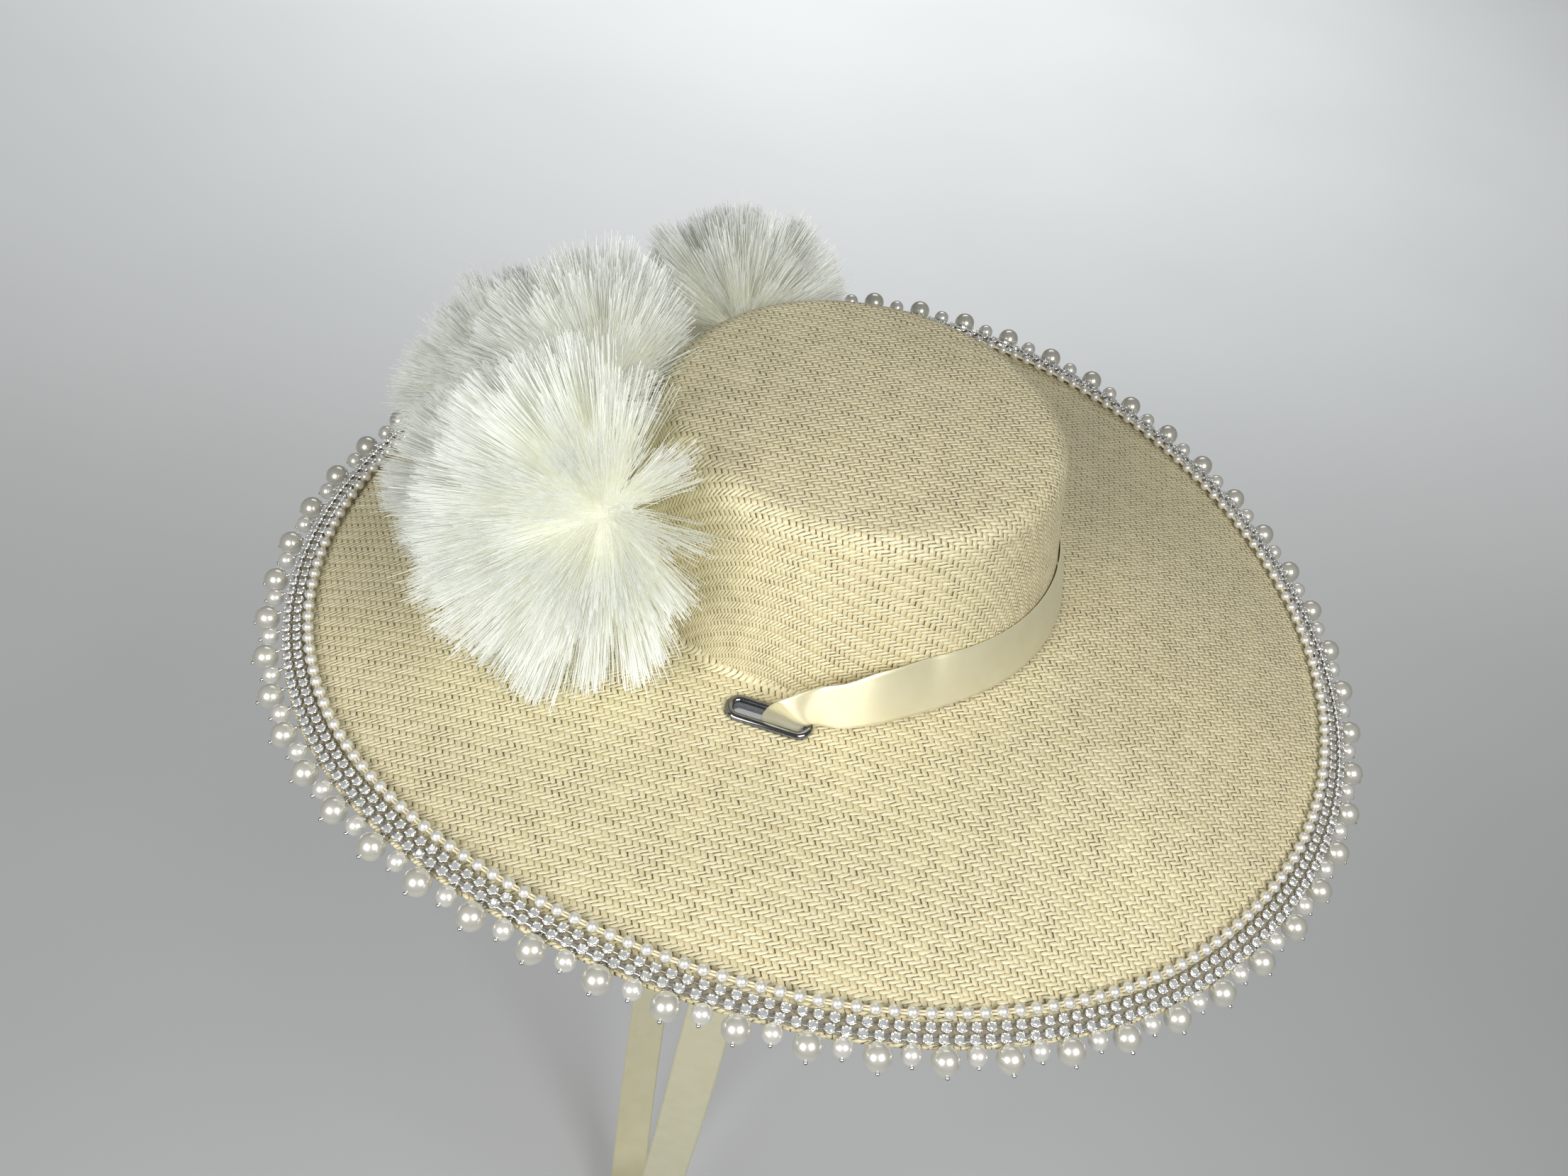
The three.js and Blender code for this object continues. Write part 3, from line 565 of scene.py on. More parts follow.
def foiled_crystal():
    """Rhinestone glass with a silver foil back: cut facets that mirror the lamps, with painted fire as a hint
    of colour.
    """
    material = new_material("foil-backed rhinestone glass")
    tree = material.node_tree
    solid = add_node(tree, "ShaderNodeTexCoord").outputs["Object"]
    # Painted fire: the noise tints the facets between pale greenish grey and white, colour that stands for
    # light split by the cut glass
    painted_fire = add_node(tree, "ShaderNodeTexNoise", {"Vector": solid, "Scale": 900.0, "Detail": 1.0})
    colour = add_node(tree, "ShaderNodeMix", {
        "Factor": painted_fire.outputs["Fac"], 6: srgb("#c9d0cc"), 7: srgb("#ffffff")}, data_type="RGBA")
    shader = add_node(tree, "ShaderNodeBsdfPrincipled", {
        "Base Color": colour.outputs[2], "Roughness": 0.12, "Metallic": 0.6,
        "Coat Weight": 1.0, "Coat Roughness": 0.02, "Coat IOR": 1.7})
    add_node(tree, "ShaderNodeOutputMaterial", {"Surface": shader.outputs[0]})
    return material


def satin_weave(name, bright, shade):
    """Polyester satin: long floats along the ribbon, a soft broad gloss and a fine grain of threads."""
    material = new_material(name)
    tree = material.node_tree
    cloth = add_node(tree, "ShaderNodeUVMap", uv_map="cloth").outputs[0]
    # Threads lie 0.3 mm apart here, twice as coarse as real satin, so that they show
    threads_place = add_node(
        tree, "ShaderNodeVectorMath", {0: cloth, 1: (3300.0, 260.0, 1.0)}, operation="MULTIPLY")
    threads = add_node(tree, "ShaderNodeTexNoise", {
        "Vector": threads_place.outputs[0], "Scale": 1.0, "Detail": 2.0})
    # Painted sheen: the noise mixes the bright and the shaded colour of the satin in broad patches
    painted_sheen_patches = add_node(tree, "ShaderNodeTexNoise", {"Vector": cloth, "Scale": 90.0, "Detail": 2.0})
    colour = add_node(tree, "ShaderNodeMix", {
        "Factor": painted_sheen_patches.outputs["Fac"], 6: srgb(shade), 7: srgb(bright)}, data_type="RGBA")
    relief = add_node(tree, "ShaderNodeBump", {
        "Height": threads.outputs["Fac"], "Distance": 0.00006, "Strength": 0.5})
    gloss = add_node(tree, "ShaderNodeMapRange", {
        "Value": threads.outputs["Fac"], "From Min": 0.3, "From Max": 0.7, "To Min": 0.48, "To Max": 0.38})
    # The floats spread the gloss across the ribbon and keep it narrow along it
    across = add_node(tree, "ShaderNodeTangent", direction_type="UV_MAP", uv_map="cloth").outputs[0]
    shader = add_node(tree, "ShaderNodeBsdfPrincipled", {
        "Base Color": colour.outputs[2], "Roughness": gloss.outputs[0], "Normal": relief.outputs[0],
        "Metallic": 0.6, "Anisotropic": 0.9, "Tangent": across,
        "Sheen Weight": 0.1, "Sheen Roughness": 0.4, "Specular IOR Level": 1.0})
    add_node(tree, "ShaderNodeOutputMaterial", {"Surface": shader.outputs[0]})
    return material


def brush_fibre(settings):
    """Silky fibre: near white, a little creamier halfway along, and cool white at the cut tips."""
    material = new_material("silky brush fibre")
    tree = material.node_tree
    along = add_node(tree, "ShaderNodeAttribute", attribute_name="along").outputs["Fac"]
    shade = add_node(tree, "ShaderNodeAttribute", attribute_name="shade").outputs["Fac"]
    length_colour = add_node(tree, "ShaderNodeValToRGB", {0: along})
    ramp = length_colour.color_ramp
    ramp.elements[0].color = srgb("#fafaf2")
    ramp.elements[1].color = (*settings.tip_colour, 1.0)
    middle = ramp.elements.new(0.6)
    middle.color = srgb("#ebece0")
    near_tip = ramp.elements.new(0.84)
    near_tip.color = srgb("#f6f8f2")
    # The shade attribute is painted light and shade: it makes some clumps and the front flower lighter and
    # the others darker, in colour and in glow
    painted_light_scale = add_node(tree, "ShaderNodeMapRange", {
        "Value": shade, "From Min": 0.0, "From Max": 1.0, "To Min": 0.8, "To Max": 1.05})
    colour = add_node(tree, "ShaderNodeVectorMath", {
        0: length_colour.outputs[0], "Scale": painted_light_scale.outputs[0]}, operation="SCALE")
    # The glow stands for light that passes on from fibre to fibre, most of it where they lie closest
    passed_on = add_node(tree, "ShaderNodeValToRGB", {0: along})
    passed_on.color_ramp.elements[0].color = srgb("#c4c4bc")
    passed_on.color_ramp.elements[1].color = srgb("#52534f")
    halfway = passed_on.color_ramp.elements.new(0.5)
    halfway.color = srgb("#aeaf9f")
    share_lit = add_node(tree, "ShaderNodeMapRange", {
        "Value": shade, "From Min": 0.0, "From Max": 1.0, "To Min": 0.15, "To Max": 1.5})
    glow = add_node(tree, "ShaderNodeVectorMath", {
        0: passed_on.outputs[0], "Scale": share_lit.outputs[0]}, operation="SCALE")
    shader = add_node(tree, "ShaderNodeBsdfPrincipled", {
        "Base Color": colour.outputs[0], "Roughness": 0.42, "Sheen Weight": 0.35, "Sheen Roughness": 0.5,
        "Specular IOR Level": 0.6, "Emission Color": glow.outputs[0], "Emission Strength": 0.45})
    add_node(tree, "ShaderNodeOutputMaterial", {"Surface": shader.outputs[0]})
    # The fibres aren't lamps for the rest of the hat, so no render time goes into sampling them
    material.cycles.emission_sampling = "NONE"
    return material


def spun_thread(name, light, dark):
    """Spun thread or tape: matt, with a fine twist."""
    material = new_material(name)
    tree = material.node_tree
    solid = add_node(tree, "ShaderNodeTexCoord").outputs["Object"]
    twist = add_node(tree, "ShaderNodeTexNoise", {"Vector": solid, "Scale": 1500.0, "Detail": 2.0})
    colour = add_node(tree, "ShaderNodeMix", {
        "Factor": twist.outputs["Fac"], 6: srgb(dark), 7: srgb(light)}, data_type="RGBA")
    relief = add_node(tree, "ShaderNodeBump", {
        "Height": twist.outputs["Fac"], "Distance": 0.0001, "Strength": 0.6})
    shader = add_node(tree, "ShaderNodeBsdfPrincipled", {
        "Base Color": colour.outputs[2], "Roughness": 0.6, "Normal": relief.outputs[0], "Sheen Weight": 0.2})
    add_node(tree, "ShaderNodeOutputMaterial", {"Surface": shader.outputs[0]})
    return material


def studio_floor(settings):
    """Matt floor paint: pale grey, with a faint unevenness, and painted shade that makes it darker near the
    hat and lighter away from it.
    """
    material = new_material("matt painted floor")
    tree = material.node_tree
    solid = add_node(tree, "ShaderNodeTexCoord").outputs["Object"]
    parts = add_node(tree, "ShaderNodeSeparateXYZ", {0: solid}).outputs
    away = add_node(tree, "ShaderNodeMath", {0: parts[0]}, operation="ABSOLUTE")
    uneven = add_node(tree, "ShaderNodeTexNoise", {"Vector": solid, "Scale": 3.0, "Detail": 2.0})
    # Painted shade: the colour runs from the darker near colour by the hat to the lighter far colour along x
    painted_shade_falloff = add_node(tree, "ShaderNodeMapRange", {
        "Value": away.outputs[0], "From Min": 0.0, "From Max": 1.25, "To Min": 0.0, "To Max": 1.0},
        interpolation_type="SMOOTHSTEP")
    colour = add_node(tree, "ShaderNodeMix", {
        "Factor": painted_shade_falloff.outputs[0],
        6: (*settings.floor_near_painted_shade, 1.0), 7: (*settings.floor_far, 1.0)}, data_type="RGBA")
    tone = add_node(tree, "ShaderNodeMapRange", {
        "Value": uneven.outputs["Fac"], "From Min": 0.3, "From Max": 0.7, "To Min": 0.98, "To Max": 1.02})
    final = add_node(
        tree, "ShaderNodeVectorMath", {0: colour.outputs[2], "Scale": tone.outputs[0]}, operation="SCALE")
    shader = add_node(tree, "ShaderNodeBsdfPrincipled", {"Base Color": final.outputs[0], "Roughness": 0.9})
    add_node(tree, "ShaderNodeOutputMaterial", {"Surface": shader.outputs[0]})
    return material


def repeat_tree():
    """Geometry Nodes: puts a piece on every point, turned by the point's two direction attributes."""
    tree = bpy.data.node_groups.new("Pieces on a seam", "GeometryNodeTree")
    tree.interface.new_socket("Points", in_out="INPUT", socket_type="NodeSocketGeometry")
    tree.interface.new_socket("Piece", in_out="INPUT", socket_type="NodeSocketObject")
    tree.interface.new_socket("Size", in_out="INPUT", socket_type="NodeSocketFloat")
    tree.interface.new_socket("Finish", in_out="INPUT", socket_type="NodeSocketMaterial")
    tree.interface.new_socket("Result", in_out="OUTPUT", socket_type="NodeSocketGeometry")
    given = add_node(tree, "NodeGroupInput").outputs
    piece = add_node(tree, "GeometryNodeObjectInfo", {"Object": given["Piece"]})
    lift = add_node(tree, "GeometryNodeInputNamedAttribute", {"Name": "lift_way"}, data_type="FLOAT_VECTOR")
    out = add_node(tree, "GeometryNodeInputNamedAttribute", {"Name": "out_way"}, data_type="FLOAT_VECTOR")
    turn = add_node(
        tree, "FunctionNodeAxesToRotation", {0: lift.outputs[0], 1: out.outputs[0]},
        primary_axis="Z", secondary_axis="X")
    placed = add_node(tree, "GeometryNodeInstanceOnPoints", {
        "Points": given["Points"], "Instance": piece.outputs["Geometry"],
        "Rotation": turn.outputs[0], "Scale": given["Size"]})
    real = add_node(tree, "GeometryNodeRealizeInstances", {0: placed.outputs[0]})
    painted = add_node(tree, "GeometryNodeSetMaterial", {
        "Geometry": real.outputs[0], "Material": given["Finish"]})
    add_node(tree, "NodeGroupOutput", {0: painted.outputs[0]})
    return tree


def fibre_tree():
    """Geometry Nodes: turns every line of a brush into a thin fibre as thick as its points say."""
    tree = bpy.data.node_groups.new("Fibres along lines", "GeometryNodeTree")
    tree.interface.new_socket("Lines", in_out="INPUT", socket_type="NodeSocketGeometry")
    tree.interface.new_socket("Sides", in_out="INPUT", socket_type="NodeSocketInt")
    tree.interface.new_socket("Finish", in_out="INPUT", socket_type="NodeSocketMaterial")
    tree.interface.new_socket("Result", in_out="OUTPUT", socket_type="NodeSocketGeometry")
    given = add_node(tree, "NodeGroupInput").outputs
    thickness = add_node(tree, "GeometryNodeInputNamedAttribute", {"Name": "thickness"}, data_type="FLOAT")
    lines = add_node(tree, "GeometryNodeMeshToCurve", {0: given["Lines"]})
    section = add_node(tree, "GeometryNodeCurvePrimitiveCircle", {
        "Resolution": given["Sides"], "Radius": 1.0})
    fibres = add_node(tree, "GeometryNodeCurveToMesh", {
        "Curve": lines.outputs[0], "Profile Curve": section.outputs[0], "Scale": thickness.outputs[0],
        "Fill Caps": True})
    real = add_node(tree, "GeometryNodeRealizeInstances", {0: fibres.outputs[0]})
    painted = add_node(tree, "GeometryNodeSetMaterial", {
        "Geometry": real.outputs[0], "Material": given["Finish"]})
    add_node(tree, "NodeGroupOutput", {0: painted.outputs[0]})
    return tree


def run_tree(piece, tree, values):
    """Runs a node tree on a piece with the named inputs, and keeps the plain mesh."""
    modifier = piece.modifiers.new(tree.name, "NODES")
    modifier.node_group = tree
    for item in tree.interface.items_tree:
        if item.in_out == "INPUT" and item.name in values:
            modifier[item.identifier] = values[item.name]
    return apply_modifiers(piece)


def repeat_piece(name, places, lifts, outs, piece, material, size=1.0, smooth=True):
    """Copies of a small piece at places on the trim, fused in one mesh."""
    points = bpy.data.meshes.new(name)
    points.from_pydata(places.tolist(), [], [])
    for attribute, ways in (("lift_way", lifts), ("out_way", outs)):
        layer = points.attributes.new(attribute, "FLOAT_VECTOR", "POINT")
        layer.data.foreach_set("vector", np.asarray(ways, dtype=np.float32).ravel())
    result = bpy.data.objects.new(name, points)
    bpy.context.scene.collection.objects.link(result)
    tree = bpy.data.node_groups.get("Pieces on a seam") or repeat_tree()
    run_tree(result, tree, {"Piece": piece, "Size": size, "Finish": material})
    result.data.polygons.foreach_set("use_smooth", [smooth] * len(result.data.polygons))
    return result


# Straw cloth


def flat_edge_scale():
    """Size of the crown's flat top, where its rounded corner starts."""
    return crown_scale(CROWN_HEIGHT - CROWN_CORNER) - CROWN_CORNER / CROWN_SIZE


def crown_rings(theta, inside):
    """Rings from the top of the crown down its wall, each with its depth below the top's edge."""
    corner = CROWN_CORNER - inside
    corner_foot = CROWN_HEIGHT - CROWN_CORNER
    rings = []
    for share in np.linspace(0.08, 1.0, 12):
        height = CROWN_HEIGHT - inside + CROWN_DOME * (1 - share ** 2)
        rings.append((crown_point(theta, flat_edge_scale() * share, height), 0.0, "top"))
    wall_scale = crown_scale(corner_foot) - inside / CROWN_SIZE
    for turn in np.radians(np.linspace(80, 0, 9)):
        scale = wall_scale - (corner / CROWN_SIZE) * (1 - math.cos(turn))
        depth = CROWN_CORNER * (math.pi / 2 - turn)
        rings.append((crown_point(theta, scale, corner_foot + corner * math.sin(turn)), depth, "wall"))
    corner_length = CROWN_CORNER * math.pi / 2
    for height in np.linspace(corner_foot, FOOT_FILLET, 14)[1:]:
        scale = crown_scale(height) - inside / CROWN_SIZE
        rings.append((crown_point(theta, scale, height), corner_length + corner_foot - height, "wall"))
    return rings


def brim_rings(theta, drop, count):
    """Rings across the brim from the crown's foot to just inside its edge."""
    reach = straw_reach(theta)
    rings = []
    for share in np.linspace(0.0, 1.0, count):
        outward = mix(FOOT_FILLET, reach, share)
        spot = brim_frame(theta, outward)
        rings.append((place(spot, lift=-drop), 0.0, "brim"))
    return rings


def foot_rings(theta, inside):
    """Rings of the small round fillet between the crown's wall and the brim."""
    start = crown_point(theta, crown_scale(FOOT_FILLET) - inside / CROWN_SIZE, FOOT_FILLET)
    corner = crown_point(theta, 1.0 - inside / CROWN_SIZE, -inside)
    end = place(brim_frame(theta, FOOT_FILLET), lift=-inside)
    rings = []
    for share in (0.2, 0.4, 0.6, 0.8):
        point = start * (1 - share) ** 2 + corner * 2 * share * (1 - share) + end * share ** 2
        rings.append((point, 0.0, "brim"))
    return rings


def cloth_uvs(theta, points, depth, region):
    """Where each point of a ring lies in the woven cloth, along the weft and along the warp."""
    weft = math.radians(WEFT_AZIMUTH)
    if region == "wall":
        flat = crown_point(theta, flat_edge_scale(), 0.0)[:, :2]
        # Down the wall the cloth keeps near its weft or warp line, and turns between them on the bias
        keeps = 0.8
        run = theta - keeps * np.sin(4 * (theta - weft)) / 4
        flat = flat + depth * np.stack([np.cos(run), np.sin(run)], axis=-1)
    else:
        flat = points[:, :2]
    along_weft = flat @ np.array([math.cos(weft), math.sin(weft)])
    along_warp = flat @ np.array([math.sin(weft), -math.cos(weft)])
    return np.stack([along_weft, along_warp], axis=-1)


def straw_cloth(material):
    """Crown and brim, blocked in one piece of cloth, with its inner face and its rolled edge."""
    sides = 320
    theta = 2 * math.pi * np.arange(sides) / sides
    lip = []
    for turn in np.radians((45, 90, 135)):
        spot = trim_frame(theta, 0.0)
        lift = -STRAW_WALL / 2 * (1 - math.cos(turn))
        lip.append((place(spot, out=EDGE_ROLL * math.sin(turn), lift=lift), 0.0, "brim"))
    rings = crown_rings(theta, 0.0) + foot_rings(theta, 0.0) + brim_rings(theta, 0.0, 40) + lip
    rings += brim_rings(theta, STRAW_WALL, 30)[::-1] + foot_rings(theta, STRAW_WALL)[::-1]
    rings += crown_rings(theta, STRAW_WALL)[::-1]
    verts = [points for points, depth, region in rings]
    faces = grid_faces(len(rings), sides)
    uvs = []
    for (upper, upper_depth, upper_region), (lower, lower_depth, lower_region) in zip(rings, rings[1:]):
        region = "wall" if "wall" in (upper_region, lower_region) else upper_region
        if {upper_region, lower_region} == {"wall", "brim"}:
            region = "brim"
        first = cloth_uvs(theta, upper, upper_depth, region)
        second = cloth_uvs(theta, lower, lower_depth, region)
        strip = np.stack([first, second, np.roll(second, -1, axis=0), np.roll(first, -1, axis=0)], axis=1)
        uvs.append(strip.reshape(-1, 2))
    poles = []
    top = CROWN_HEIGHT + CROWN_DOME
    for ring, height in ((0, top), (len(rings) - 1, top - STRAW_WALL)):
        pole = len(rings) * sides + len(poles)
        poles.append([[0.0, 0.0, height]])
        ring_uv = cloth_uvs(theta, rings[ring][0], 0.0, "top")
        pole_uv = np.zeros((sides, 2))
        for side in range(sides):
            here = ring * sides + side
            following = ring * sides + (side + 1) % sides
            faces.append((pole, here, following) if ring == 0 else (pole, following, here))
        corners = [pole_uv, ring_uv, np.roll(ring_uv, -1, axis=0)]
        order = corners if ring == 0 else [corners[0], corners[2], corners[1]]
        uvs.append(np.stack(order, axis=1).reshape(-1, 2))
    points = np.concatenate(verts + [np.array(middle) for middle in poles])
    piece = make_object("straw_cloth", points, faces, material, np.concatenate(uvs))
    turn_faces_out(piece)
    cut_slots(piece)
    return piece


def oblong(offset, end_steps):
    """Outline of an oblong with round ends, a distance off its straight middle line."""
    along, out = [], []
    for end in (1, -1):
        for turn in math.pi * (np.arange(end_steps + 1) / end_steps - 0.5):
            along.append(end * (EYELET_STRAIGHT_HALF + offset * math.cos(turn)))
            out.append(end * offset * math.sin(turn))
    return np.array(along), np.array(out)


def eyelet_frame(azimuth):
    """Place and directions of an eyelet on the brim."""
    return brim_frame(np.array(math.radians(azimuth)), EYELET_OUTWARD)


def cut_slots(piece):
    """Cuts the two slots that the eyelets line."""
    slot_height = 0.006
    along, out = oblong(EYELET_BARREL + GAP, 12)
    for azimuth in EYELET_AZIMUTHS:
        spot = eyelet_frame(azimuth)
        rings = [
            place(spot, out[:, None], along[:, None], lift) for lift in (slot_height, -slot_height)
        ]
        count = len(along)
        faces = grid_faces(2, count) + [tuple(range(count)), tuple(range(2 * count - 1, count - 1, -1))]
        cutter = make_object("slot_cutter", np.concatenate(rings), faces, piece.data.materials[0])
        turn_faces_out(cutter)
        cut = piece.modifiers.new("slot", "BOOLEAN")
        cut.operation = "DIFFERENCE"
        cut.solver = "EXACT"
        cut.object = cutter
        apply_modifiers(piece)
        remove_object(cutter)


# Eyelets


def eyelet(name, azimuth, material):
    """An oblong eyelet with a rolled rim above the straw and a flat one below."""
    rim_steps = 12
    underside = -STRAW_WALL - GAP - EYELET_SLACK
    middle = (EYELET_BORE + EYELET_RIM) / 2
    half = (EYELET_RIM - EYELET_BORE) / 2
    profile = [(EYELET_BORE, underside - EYELET_LOWER_THICKNESS)]
    for turn in np.linspace(math.pi, 0.0, rim_steps):
        profile.append((middle + half * math.cos(turn), GAP + EYELET_RIM_HEIGHT * math.sin(turn) ** 0.7))
    profile += [
        (EYELET_BARREL, GAP),
        (EYELET_BARREL, underside),
        (EYELET_LOWER_RIM, underside),
        (EYELET_LOWER_RIM, underside - EYELET_LOWER_THICKNESS),
    ]
    spot = eyelet_frame(azimuth)
    outlines = []
    for offset, lift in profile:
        along, out = oblong(offset, 16)
        outlines.append(place(spot, out[:, None], along[:, None], lift))
    faces = grid_faces(len(profile), len(outlines[0]), close_rows=True)
    piece = make_object(name, np.concatenate(outlines), faces, material)
    turn_faces_out(piece)
    return piece


# Satin ribbon, as the two edges of the strip at each station, with side 1 for the wearer's left half
# and side -1 for the right one


def ribbon_band(azimuth, side):
    """The ribbon's lower and upper edge round the back of the crown, which it leaves near the eyelet."""
    theta = np.radians(azimuth) if side > 0 else math.pi - np.radians(azimuth)
    width = mix(RIBBON_WIDTH_AT_FOLD, RIBBON_WIDTH, smoothstep(azimuth, RIBBON_BAND_END, RIBBON_NARROWS_FROM))
    flare = RIBBON_FOOT_FLARE
    foot_gap = flare["gap"] * np.exp(-((azimuth - flare["azimuth"]) / flare["spread"]) ** 2)
    lower = brim_point(theta, RIBBON_FOOT_GAP + foot_gap)
    lower[:, 2] += mix(RIBBON_LIFT_AT_RIM, RIBBON_LIFT, smoothstep(azimuth, RIBBON_BAND_END, -4))
    flare = RIBBON_TOP_FLARE
    top_gap = flare["gap"] * np.maximum((flare["from"] - azimuth) / flare["spread"], 0.0) ** flare["power"]
    wall = crown_point(theta, crown_scale(width), 0.0)
    reach = np.linalg.norm(wall, axis=-1, keepdims=True)
    upper = wall * (reach + RIBBON_TOP_GAP + top_gap[:, None]) / reach
    across = np.linalg.norm(lower[:, :2] - upper[:, :2], axis=-1)
    upper[:, 2] = lower[:, 2] + np.sqrt(width ** 2 - across ** 2)
    return lower, upper


def ribbon_fold(start, side, steps):
    """The edges and the bulge of the ribbon where it turns down into the eyelet."""
    spot = eyelet_frame(EYELET_AZIMUTHS[0] if side > 0 else EYELET_AZIMUTHS[1])
    knots = np.arange(len(RIBBON_FOLD) + 1)
    stations = np.linspace(0.0, knots[-1], steps + 1)[1:]
    edges = []
    for edge, first in zip(("lower", "upper"), start):
        points = [first]
        for section in RIBBON_FOLD:
            along, out, lift = section[edge]
            points.append(place(spot, out, side * along, lift))
        points = np.array(points)
        edges.append(np.stack([np.interp(stations, knots, points[:, axis]) for axis in range(3)], axis=-1))
    bulge = np.interp(stations, knots, [0.0] + [section["bulge"] for section in RIBBON_FOLD])
    return edges[0], edges[1], bulge


def ribbon_leg(start, chin, steps):
    """The ribbon hangs from the slot to the middle of the chin loop as a quarter of an oval."""
    middle = (start[0] + start[1]) / 2
    slot_span = unit(start[1] - start[0])
    share = (np.arange(1, steps + 1) / steps)[:, None]
    turn = share * math.pi / 2
    flat = mix(middle, chin, share)
    centre = np.concatenate([
        middle[0] * np.cos(turn),
        flat[:, 1:2] - RIBBON_CHIN_FORWARD * share,
        flat[:, 2:] - RIBBON_CHIN_DEPTH * np.sin(turn),
    ], axis=-1)
    span = unit(mix(slot_span, np.array([0.0, -1.0, 0.0]), share))
    width = mix(RIBBON_WIDTH_IN_SLOT, RIBBON_WIDTH, smoothstep(share, 0.0, 0.3))
    return centre - span * width / 2, centre + span * width / 2


def ribbon_edges():
    """Both edges of the ribbon round its whole loop, and how far its middle bulges."""
    band_stations, fold_stations, leg_stations = 110, 28, 160
    azimuths = np.linspace(90, RIBBON_BAND_END, band_stations)
    bands = {side: ribbon_band(azimuths, side) for side in (1, -1)}
    folds = {
        side: ribbon_fold([edge[-1] for edge in bands[side]], side, fold_stations) for side in (1, -1)
    }
    chin = np.mean([folds[side][edge][-1] for side in (1, -1) for edge in (0, 1)], axis=0)
    halves = {}
    for side in (1, -1):
        leg = ribbon_leg([folds[side][0][-1], folds[side][1][-1]], chin, leg_stations)
        lower = np.concatenate([bands[side][0], folds[side][0], leg[0]])
        upper = np.concatenate([bands[side][1], folds[side][1], leg[1]])
        bulge = np.concatenate([np.zeros(len(azimuths)), folds[side][2], np.zeros(len(leg[0]))])
        halves[side] = (lower, upper, bulge)
    return [np.concatenate([halves[1][i], halves[-1][i][-2:0:-1]]) for i in range(3)]


def loop_smooth(values, rounds):
    """Evens out values round a closed loop."""
    for _ in range(rounds):
        values = (np.roll(values, 1, axis=0) + 2 * values + np.roll(values, -1, axis=0)) / 4
    return values


def satin_ribbon(material, thickness):
    """The ribbon as a thin strip that bows a little across and gathers where it enters the eyelets."""
    columns = 14
    lower, upper, bulge = [loop_smooth(values, 5) for values in ribbon_edges()]
    centre = (lower + upper) / 2
    steps = np.linalg.norm(np.roll(centre, -1, axis=0) - centre, axis=-1)
    travelled = np.concatenate([[0.0], np.cumsum(steps)[:-1]])
    travel = np.roll(centre, -1, axis=0) - np.roll(centre, 1, axis=0)
    normal = unit(loop_smooth(unit(np.cross(upper - lower, travel)), 4))
    shares = np.linspace(0.0, 1.0, columns + 1)
    bow = 0.0006 * np.sin(math.pi * shares)
    ridge = np.sin(math.pi * shares ** 0.8)
    offset = bow[None, :] + bulge[:, None] * ridge[None, :]
    sheet = mix(lower[:, None], upper[:, None], shares[None, :, None])
    front = sheet + normal[:, None] * (offset[..., None] + thickness / 2)
    back = sheet + normal[:, None] * (offset[..., None] - thickness / 2)
    loop = np.concatenate([front, back[:, ::-1]], axis=1)
    faces = grid_faces(len(lower), 2 * (columns + 1), close_rows=True)
    across = RIBBON_WIDTH * np.concatenate([shares, shares[::-1]])
    total = travelled[-1] + steps[-1]
    row_ends = np.append(travelled, total)
    uvs = []
    for row in range(len(lower)):
        for column in range(2 * (columns + 1)):
            following = (column + 1) % (2 * (columns + 1))
            uvs += [
                (across[column], row_ends[row]), (across[column], row_ends[row + 1]),
                (across[following], row_ends[row + 1]), (across[following], row_ends[row]),
            ]
    piece = make_object("satin_ribbon_loop", loop, faces, material, uvs)
    turn_faces_out(piece)
    return piece, total


# Pearls, crystals and their settings


def ball(name, radius, material, segments=24, rings=14):
    """A round bead at the origin."""
    shape = bmesh.new()
    bmesh.ops.create_uvsphere(shape, u_segments=segments, v_segments=rings, radius=radius)
    return from_bmesh(name, shape, material)


def from_bmesh(name, shape, material):
    """A new object from a bmesh, which is freed."""
    mesh = bpy.data.meshes.new(name)
    shape.to_mesh(mesh)
    shape.free()
    mesh.materials.append(material)
    piece = bpy.data.objects.new(name, mesh)
    bpy.context.scene.collection.objects.link(piece)
    return piece


def pin_piece(name, root_length, pearl_radius, material):
    """A pin along +Z through a pearl at the origin, with a ball head beyond it and a collar before it."""
    head_lift = PIN_HEAD_RADIUS * 0.6
    collar_radius = 0.0009
    shape = bmesh.new()
    bmesh.ops.create_cone(
        shape, cap_ends=True, segments=8, radius1=PIN_RADIUS, radius2=PIN_RADIUS,
        depth=root_length + pearl_radius,
        matrix=Matrix.Translation((0, 0, (pearl_radius - root_length) / 2)))
    bmesh.ops.create_uvsphere(
        shape, u_segments=12, v_segments=8, radius=PIN_HEAD_RADIUS,
        matrix=Matrix.Translation((0, 0, pearl_radius + head_lift)))
    bmesh.ops.create_cone(
        shape, cap_ends=True, segments=12, radius1=collar_radius, radius2=collar_radius * 0.7,
        depth=PIN_HEAD_RADIUS, matrix=Matrix.Translation((0, 0, -pearl_radius)))
    return from_bmesh(name, shape, material)


